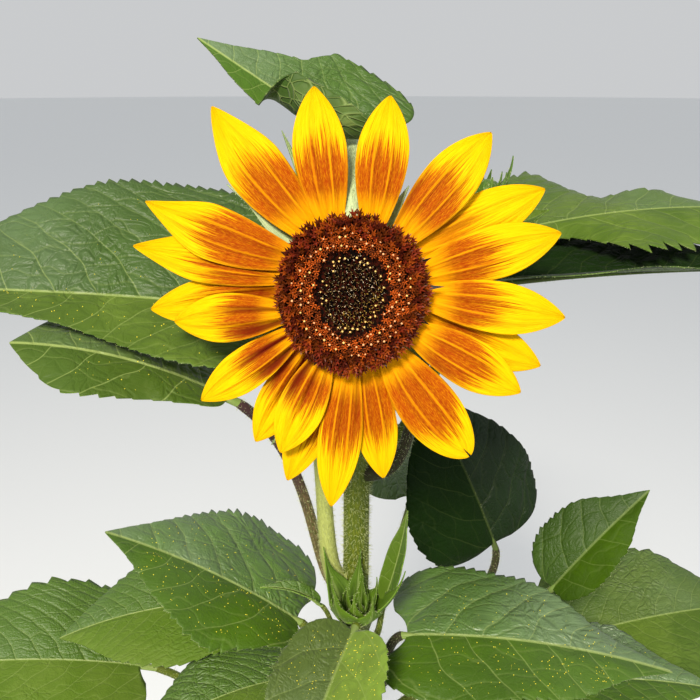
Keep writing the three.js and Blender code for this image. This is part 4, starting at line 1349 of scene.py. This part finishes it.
def build_bed(settings):
    """The dark ground that the florets stand on."""
    bed = Shape()
    back = [(0.4, CUP_FRONT + 0.3), (24.6, CUP_FRONT + 0.3), (25.4, CUP_FRONT + 1.6)]
    front = [(r, disc_height(r) - 1.5) for r in np.linspace(25.4, 0.4, 40)]
    lathe_on_head(bed, back + front, 96)
    nodes = Nodes("disc_bed")
    spots = nodes.noise(nodes.place(), 900, 3, 0.6)
    tone = nodes.mix(spots.ramp(0.4, 0.65), settings.disc_heart, shade(settings.disc_rim, 0.25))
    nodes.bump(spots, 0.0006)
    skin = nodes.finish(tone, 0.8, Specular_IOR_Level=0.05)
    return bed.settle("disc_bed", [skin], "disc", "disc")


def build_florets(settings):
    rng = np.random.default_rng(41)
    closed, tube, star, rim = floret_bodies()
    ball = turned_body(((0.05, -0.32), (0.24, -0.22), (0.33, 0), (0.24, 0.22), (0.05, 0.32)), 6)
    awl = spike_body(0.16, 1.1, 0.15)
    palea = spike_body(0.42, 3.3, 0.3)
    heart, ring, edge, glints, dots = [Shape() for _ in range(5)]

    count = settings.floret_count
    k = np.arange(count)
    angles = np.radians(k * GOLDEN_ANGLE)
    radii = (DISC_RADIUS - 0.7) * np.sqrt((k + 0.5) / count) + rng.normal(0, 0.1, count)
    heart_ends = 11.1 + 1.7 * np.sin(angles) ** 2 + 0.3 * np.sin(angles * 3 + 0.6)
    heart_ends = heart_ends + rng.normal(0, 0.25, count)
    rim_starts = RIM_START + rng.normal(0, 0.7, count)
    for i, (r, a, heart_end, rim_start) in enumerate(zip(radii, angles, heart_ends, rim_starts)):
        flat = HEAD_RIGHT * math.cos(a) * 0.975 + HEAD_UP * math.sin(a) * 1.02
        uneven = (r / DISC_RADIUS) ** 3 * (0.5 * math.sin(3 * a + 0.5) + 0.55 * math.sin(8 * a + 2))
        centre = HEAD_CENTRE + flat * (r + uneven) + HEAD_OUT * (disc_height(min(r, 25.8)) - 1.5)
        turn = rng.uniform(0, 6.28)
        if r < heart_end:
            axis = unit(HEAD_OUT + flat * (0.02 * r - 0.25) + rng.normal(0, 0.05, 3))
            size = rng.uniform(0.85, 1.08)
            heart.add_copy(closed, centre, axis, turn, size, rng.integers(0, 3))
            tip = centre + axis * 1.5 * size
            lit = smooth((r - 3) / 7) * max(0, math.cos(a - GLINT_SIDE)) ** 0.7
            for _ in range(4 + int(rng.uniform() < lit) + int(rng.uniform() < lit)):
                way = unit(axis + rng.normal(0, 0.6, 3))
                root = tip + rng.normal(0, 0.34, 3)
                shine = 3 if rng.uniform() < lit * 0.8 else rng.choice(3, p=(0.4, 0.35, 0.25))
                glints.add_copy(awl, root, way, turn, rng.uniform(0.45, 0.9), shine)
            if r > heart_end - 2.2 and rng.uniform() < 0.46:
                dots.add_copy(ball, tip + axis * 0.9, axis, turn, rng.uniform(0.9, 1.35), 1)
        elif r < rim_start:
            axis = unit(HEAD_OUT + flat * (0.12 + (r - 14) * 0.02) + rng.normal(0, 0.12, 3))
            size = rng.uniform(0.8, 1.04)
            # Painted shade: florets at the heart's edge sit lower and take the near-black heart
            # colour, for the dark pit round the heart
            if r < heart_end + 1.5:
                edge.add_copy(closed, centre - HEAD_OUT * 1.3, axis, turn, size, 4)
                continue
            # Random ring tones; their wide spread, and each tube a tone darker than the star over it,
            # are partly painted shade between the florets
            tone = rng.integers(0, 3)
            centre = centre + axis * rng.uniform(-0.8, 0.5)
            ring.add_copy(tube, centre, axis, turn, size * 0.82, tone)
            ring.add_copy(star, centre, axis, turn, size * 0.97, tone + 1)
            if i % 3 == 1 and rng.uniform() < 0.85:
                pale = int(rng.uniform() < 0.25)
                place = centre + axis * 3.0 * size
                dots.add_copy(ball, place, axis, turn, rng.uniform(0.95, 1.45), pale)
        else:
            tilt = 0.25 + (r - RIM_START) * 0.13
            axis = unit(HEAD_OUT + flat * tilt + rng.normal(0, 0.14, 3))
            edge.add_copy(rim, centre, axis, turn, rng.uniform(0.88, 1.15), rng.integers(0, 4))
            if rng.uniform() < 0.5:
                way = unit(axis + rng.normal(0, 0.25, 3))
                root = centre + rng.normal(0, 0.4, 3)
                edge.add_copy(palea, root, way, turn, rng.uniform(0.8, 1.15), rng.integers(0, 3))
    for degrees in np.arange(0, 360, 5.3):
        a = math.radians(degrees + rng.normal(0, 1.2))
        centre = HEAD_CENTRE + head_way(a) * 24.1 - HEAD_OUT * 1.6
        way = unit(head_way(a) + HEAD_OUT * rng.uniform(0.35, 0.8) + rng.normal(0, 0.12, 3))
        edge.add_copy(palea, centre, way, a, rng.uniform(0.75, 1.1), rng.integers(0, 3))
    for degrees, reach in LONG_PALEAE:
        a = math.radians(degrees)
        centre = HEAD_CENTRE + head_way(a) * 23 - HEAD_OUT * 0.6
        way = unit(head_way(a) + HEAD_OUT * 0.16)
        edge.add_copy(spike_body(1.3, reach - 23, 0.0, 0.62), centre, way, a, 1.0, 4)
    return heart, ring, edge, glints, dots


def build_disc(settings):
    heart, ring, edge, glints, dots = build_florets(settings)

    def tones(title, roughness, gloss, *colours):
        return [plain_material(f"{title}_{n}", c, roughness, gloss) for n, c in enumerate(colours)]

    def shades(colour, *shares):
        return [shade(colour, share) for share in shares]

    made = [build_bed(settings)]
    dark, rim_tone, ring_tone = settings.disc_heart, settings.disc_rim, settings.disc_ring
    for name, shape, materials in (
        ("florets_heart", heart, tones("heart", 0.7, 0.05, *shades(dark, 0.7, 1.0, 1.6))),
        ("florets_open", ring, tones("ring", 0.55, 0.15, *shades(ring_tone, 0.2, 0.5, 0.95, 1.6))),
        ("florets_rim", edge, tones(
            "rim", 0.45, 0.15, *shades(rim_tone, 0.45, 1.15), *shades(ring_tone, 0.3, 0.85), dark,
        )),
        ("floret_glints", glints, tones(
            "glint", 0.4, 0.15, linear(104, 80, 36), linear(174, 144, 92), linear(222, 204, 172),
            linear(186, 148, 64),
        )),
        ("pollen_dots", dots, tones("pollen", 0.6, 0.15, settings.disc_cream, linear(226, 186, 108))),
    ):
        made.append(shape.settle(name, materials, "disc", "disc", flat=name == "florets_rim"))
    return made


# Cup and buds
BRACT_COUNT = 14
BRACT_FIRST_ANGLE = 62
BRACT_REACHES = (42, 44, 62, 57, 50)
BRACTS_FORWARD = {0: 4, 3: 6}       # bracts that lean forward between two petals
TOP_LEAF_PLACE = 1


def add_bract(shape, base, tip, face, width, arch, bend, outline, rng, upper=0, mesh=(30, 13)):
    rows, columns = mesh
    s, t = np.linspace(0, 0.995, rows), np.linspace(-1, 1, columns)
    half = width / 2 * outline(s) * (1 - 0.45 * smooth((s - 0.5) / 0.3))
    sway = rng.normal(0, 0.6)
    points, normals, *_ = blade_surface(
        s, t, base, tip, face, np.maximum(half, 0.14), arch, side_bend(bend), side_bend(bend), sway,
        ripple_phase=rng.uniform(0, 360),
    )
    rib = 0.35 * np.exp(-(t / 0.16) ** 2) * (1 - s)[:, None]
    points = points - normals * rib[:, :, None]
    thin_shell(shape, points, normals, 0.5, spread(s, (t + 1) / 2), upper)
    margins = np.concatenate([points[1:-1, 0], points[1:-1, -1]])
    middles = np.concatenate([points[1:-1, columns // 2]] * 2)
    pick = rng.integers(0, len(margins), 60)
    away = unit(margins[pick] - middles[pick] + 1e-6)
    add_hairs(BRACT_HAIRS, margins[pick], away, rng, 1.5, 0.06)
    row = rng.integers(1, rows - 1, 40)
    column = rng.integers(1, columns - 1, 40)
    add_hairs(BRACT_HAIRS, points[row, column], -normals[row, column], rng, 1.2, 0.06)


def build_cup(settings):
    rng = np.random.default_rng(61)
    shape = Shape()
    side = CUP_SIDE_BACK
    lathe_on_head(shape, [
        (1, CUP_BACK + 0.2), (6.6, CUP_BACK + 0.1), (10, CUP_BACK + 3), (17, side - 3.5),
        (21.5, side - 0.8), (CUP_RADIUS, side + 1), (CUP_RADIUS, CUP_FRONT - 0.4),
        (CUP_RADIUS - 1, CUP_FRONT), (1, CUP_FRONT),
    ], 72)
    for k in range(BRACT_COUNT):
        if k == TOP_LEAF_PLACE:
            continue
        angle = BRACT_FIRST_ANGLE + k * 360 / BRACT_COUNT
        forward = BRACTS_FORWARD.get(k, 0)
        base = around_head(angle, CUP_RADIUS - 6, side - 1.2 + forward * 0.3)
        tip = around_head(angle, BRACT_REACHES[k % len(BRACT_REACHES)], side + 0.5 + forward)
        width = 11 + forward * 0.5
        upper = 2 if forward else 0
        add_bract(shape, base, tip, HEAD_OUT, width, -1.6, (6, 10), bract_outline, rng, upper)
    for k in range(BRACT_COUNT):
        angle = BRACT_FIRST_ANGLE + (k + 0.5) * 360 / BRACT_COUNT
        base = around_head(angle, 10.5, CUP_BACK + 2.4)
        tip = around_head(angle, 37 + rng.uniform(-3, 4), side - 1.6)
        add_bract(shape, base, tip, HEAD_OUT, 12.5, -3.0, (6, 14), bract_outline, rng)
    green, pale = settings.green, settings.bract_pale
    return shape.settle("cup_and_bracts", [
        bract_material("bract_upper", settings, green, pale),
        bract_material("bract_under", settings, green, settings.under_green),
        bract_material("bract_lit", settings, shade(pale, 0.7), pale),
    ], "green_bracts", "cup")


class Bud(NamedTuple):
    """A closed bud at the end of a limb, in rings of bracts."""

    name: str
    node: str
    limb: dict
    radius: float
    length: float                   # of the bracts
    spread: float
    turn: float
    outline: object
    rings: tuple                    # bracts, their scale, offset, width and lean, for each ring


SIDE_BUD = Bud(
    "bud_side", "side_bud", BUD_BRANCH, 6.5, 21, 4.5, 195, bract_outline,
    ((7, 1, 0, 9.5, 1), (6, 0.72, 0.5, 7.5, 0.75)),
)
SHOOT_BUD = Bud(
    "bud_of_shoot", "shoot_bud", YOUNG_SHOOT, 5, 30, 17, 68, leafy_bract_outline,
    ((7, 1, 0, 19, 1), (6, 1, 0.5, 12, 0.6), (5, 0.85, 0.2, 7, 0.2)),
)
# Height and radius of a bud's body along its axis, of the bud's radius
BUD_PROFILE = (
    (-0.5, 0.42), (0, 0.5), (0.35, 0.8), (0.8, 1), (1.15, 0.97), (1.5, 0.8), (1.72, 0.45),
    (1.8, 0.08),
)


def build_bud(bud, tones, down, settings):
    """A closed green bud in its rings of pointed bracts."""
    rng = np.random.default_rng(len(bud.name) * 7)
    points, ways = bezier(bud.limb["ends"], [1.0])
    axis = ways[0]
    foot = points[0] + axis * SEAT_GAP
    side, top = cross_frame(axis, np.array([0.0, -1.0, 0.0]))
    heights, radii = np.array(BUD_PROFILE).T * bud.radius
    count = len(heights)
    shape = Shape()
    shape.tube(
        foot + axis * heights[:, None], np.tile(side, (count, 1)), np.tile(top, (count, 1)), radii,
        0, 24, np.linspace(0, 1, count),
    )
    for number, scale, offset, width, lean in bud.rings:
        for k in range(number):
            angle = math.radians(bud.turn + (k + offset) * 360 / number)
            away = side * math.cos(angle) + top * math.sin(angle)
            share = (0.8 + 0.3 * math.sin(2.4 * k)) * scale
            base = foot + axis * bud.radius * 0.15 + away * bud.radius * (0.1 + 0.35 * lean)
            tip = foot + axis * bud.length * share
            tip = tip + away * (bud.radius * 0.6 + bud.spread * share) * lean
            add_bract(
                shape, base, tip, unit(axis * 0.4 - away), width, -0.11 * bud.length * scale,
                (10, 20), bud.outline, rng, mesh=(26, 11),
            )
    return shape.settle(bud.name, [
        bract_material(bud.name + "_inside", settings, tones[0], tones[1], down),
        bract_material(bud.name + "_outside", settings, tones[1], tones[2], down),
    ], "green_bracts", bud.node)


# Grains of pollen on the leaves below the bloom
POLLEN_GRAINS = {
    "leaf_low_left": 200, "leaf_low_right": 240, "leaf_left_big": 150, "leaf_front": 300,
    "leaf_left_lower": 30, "leaf_quilted": 40,
}


def build_pollen():
    rng = np.random.default_rng(77)
    shape = Shape()
    grain = turned_body(((0.04, -0.2), (0.2, 0), (0.04, 0.2)), 5)
    for name, above, normals in LEAF_TOPS:
        rows, columns = above.shape[:2]
        near_is_first = above[rows // 2, 0, 1] < above[rows // 2, -1, 1]
        for _ in range(POLLEN_GRAINS.get(name, 0)):
            row = int(rng.uniform(0.06, 0.8) * rows)
            side = rng.uniform(0.06, 0.48) if rng.uniform() < 0.65 else rng.uniform(0.5, 0.9)
            column = int((side if near_is_first else 1 - side) * columns)
            axis = normals[row, column]
            place = above[row, column] + axis * 0.08
            shape.add_copy(grain, place, axis, 0, rng.uniform(0.35, 1.3), 0)
    yellow = plain_material("pollen_yellow", linear(246, 226, 70), 0.7)
    return shape.settle("pollen_on_leaves", [yellow], "leaf")


# Stage
def add_to_scene(name, data, place):
    obj = bpy.data.objects.new(name, data)
    bpy.context.scene.collection.objects.link(obj)
    obj.location = place
    return obj


def build_stage(settings):
    shape = Shape()
    turns = 64
    angles = FULL_TURN * np.arange(turns) / turns
    radii = np.array([0.1, 1000, settings.floor_radius / MM])[:, None]
    flat = np.zeros((3, turns))
    points = np.stack([radii * np.cos(angles), radii * np.sin(angles), flat], axis=-1)
    shape.grid(points, np.zeros((3, turns, 2)), 0, closed=True)
    floor = shape.make("floor", [plain_material("floor_pale", settings.floor, 0.9)])

    scene = bpy.context.scene
    world = bpy.data.worlds.new("soft_sky")
    scene.world = world
    world.use_nodes = True
    background = world.node_tree.nodes["Background"]
    background.inputs["Color"].default_value = (*linear(236, 238, 240), 1)
    background.inputs["Strength"].default_value = settings.sky
    for name, place, size, power, colour in (
        ("key", (-0.5, -1.75, 2.45), 0.45, settings.key_power, linear(255, 247, 232)),
        ("fill", (1.9, -1.2, 1.5), 2.2, settings.fill_power, linear(235, 242, 255)),
    ):
        data = bpy.data.lights.new(name, "AREA")
        data.size, data.energy, data.color = size, power, colour
        lamp = add_to_scene(name, data, place)
        lamp.rotation_mode = "QUATERNION"
        lamp.rotation_quaternion = (Vector(HEAD_CENTRE * MM) - lamp.location).to_track_quat("-Z", "Y")
    data = bpy.data.cameras.new("photo_view")
    data.sensor_width, data.lens, data.clip_start = CAMERA_SENSOR, CAMERA_LENS, 0.01
    camera = add_to_scene("photo_view", data, CAMERA_PLACE)
    camera.rotation_euler = (math.radians(90 - CAMERA_DOWNWARD), 0, 0)
    scene.camera = camera
    scene.view_settings.view_transform = "Standard"
    return floor


# Operators
class BuildStage(bpy.types.Operator):
    """Build the pale floor, the soft lights and the camera"""

    bl_idname = "sunflower.build_stage"
    bl_label = "Stage"

    def execute(self, context):
        must(build_stage(context.scene.sunflower_stage), "stage")
        return {"FINISHED"}


class BuildStem(bpy.types.Operator):
    """Build the main stem, the bud's branch and the young shoot"""

    bl_idname = "sunflower.build_stem"
    bl_label = "Stem and side limbs"

    def execute(self, context):
        settings = context.scene.sunflower_stem
        must(build_main_stem(settings), "main stem")
        must(build_limb("branch_of_bud", "bud_branch", BUD_BRANCH, UP, settings, 21), "bud branch")
        shoot = build_limb("shoot_young", "young_shoot", YOUNG_SHOOT, HEAD_RIGHT, settings, 22)
        must(shoot, "young shoot")
        return {"FINISHED"}


class BuildLeaves(bpy.types.Operator):
    """Build every leaf with its stalk"""

    bl_idname = "sunflower.build_leaves"
    bl_label = "Leaves"

    def execute(self, context):
        settings = context.scene.sunflower_leaf
        stem = context.scene.sunflower_stem
        skins = leaf_skins(settings, stem)
        must(build_leaves(LEAVES, skins, settings, stem, 100, LEAF_MESH), "leaves")
        lower = build_leaves(LOWER_LEAVES, skins, settings, stem, 200, LOWER_LEAF_MESH)
        must(lower, "lower leaves")
        return {"FINISHED"}


class BuildPetals(bpy.types.Operator):
    """Build the ray petals"""

    bl_idname = "sunflower.build_petals"
    bl_label = "Petals"

    def execute(self, context):
        settings = context.scene.sunflower_bloom
        under = streaked_material(
            "petal_underside", (3, 60), (0.45, 0.7), settings.petal_under, settings.petal_base, 0.12,
        )
        made = [build_petal(index, petal, under, settings) for index, petal in enumerate(PETALS)]
        must(made, "petals")
        return {"FINISHED"}


class BuildDisc(bpy.types.Operator):
    """Build the disc and its florets"""

    bl_idname = "sunflower.build_disc"
    bl_label = "Disc"

    def execute(self, context):
        must(build_disc(context.scene.sunflower_bloom), "disc")
        return {"FINISHED"}


class BuildCup(bpy.types.Operator):
    """Build the green cup with its bracts, and both closed buds"""

    bl_idname = "sunflower.build_cup"
    bl_label = "Cup and buds"

    def execute(self, context):
        leaf = context.scene.sunflower_leaf
        must(build_cup(leaf), "cup")
        dark = (leaf.deep_green, leaf.green, leaf.near_green)
        must(build_bud(SIDE_BUD, dark, 1.0, leaf), "side bud")
        fresh, near = leaf.fresh_green, leaf.near_green
        fresh = (shade(near, 0.9), shade(fresh, 0.82), shade(fresh, 0.95))
        must(build_bud(SHOOT_BUD, fresh, 0.2, leaf), "bud of the young shoot")
        return {"FINISHED"}


class BuildHairs(bpy.types.Operator):
    """Join the bristles into pieces, and scatter pollen on the leaves"""

    bl_idname = "sunflower.build_hairs"
    bl_label = "Hairs and pollen"

    def execute(self, context):
        bristle = plain_material("bristle", context.scene.sunflower_stem.hair, 0.5)
        for name, shape, slot_name in (
            ("hairs_of_stem", STEM_HAIRS, "stem"),
            ("hairs_of_leaves", LEAF_HAIRS, "leaf"),
            ("hairs_of_bracts", BRACT_HAIRS, "green_bracts"),
        ):
            must(shape.count, name)
            shape.settle(name, [bristle], slot_name)
        must(build_pollen(), "pollen")
        return {"FINISHED"}


OPERATORS = (BuildStage, BuildStem, BuildLeaves, BuildPetals, BuildDisc, BuildCup, BuildHairs)
SETTINGS = {
    "sunflower_bloom": BloomSettings,
    "sunflower_leaf": LeafSettings,
    "sunflower_stem": StemSettings,
    "sunflower_stage": StageSettings,
}


class SunflowerPanel(bpy.types.Panel):
    """Lists the plant's settings and the steps that build it"""

    bl_idname = "VIEW3D_PT_sunflower"
    bl_label = "Sunflower plant"
    bl_space_type = "VIEW_3D"
    bl_region_type = "UI"
    bl_category = "Sunflower"

    def draw(self, context):
        for operator in OPERATORS:
            self.layout.operator(operator.bl_idname)
        for title, group in SETTINGS.items():
            box = self.layout.box()
            box.label(text=title.removeprefix("sunflower_").capitalize())
            for setting in group.__annotations__:
                box.prop(getattr(context.scene, title), setting)


def register():
    for cls in (*SETTINGS.values(), *OPERATORS, SunflowerPanel):
        bpy.utils.register_class(cls)
    for title, group in SETTINGS.items():
        setattr(bpy.types.Scene, title, bpy.props.PointerProperty(type=group))


def unregister():
    for title in SETTINGS:
        delattr(bpy.types.Scene, title)
    for cls in reversed((*SETTINGS.values(), *OPERATORS, SunflowerPanel)):
        bpy.utils.unregister_class(cls)


def corners(box):
    return [list(corner) for corner in box]


def main():
    register()
    bpy.ops.sunflower.build_stage()
    bpy.ops.sunflower.build_stem()
    bpy.ops.sunflower.build_leaves()
    bpy.ops.sunflower.build_petals()
    bpy.ops.sunflower.build_disc()
    bpy.ops.sunflower.build_cup()
    bpy.ops.sunflower.build_hairs()


if __name__ == "__main__":
    main()
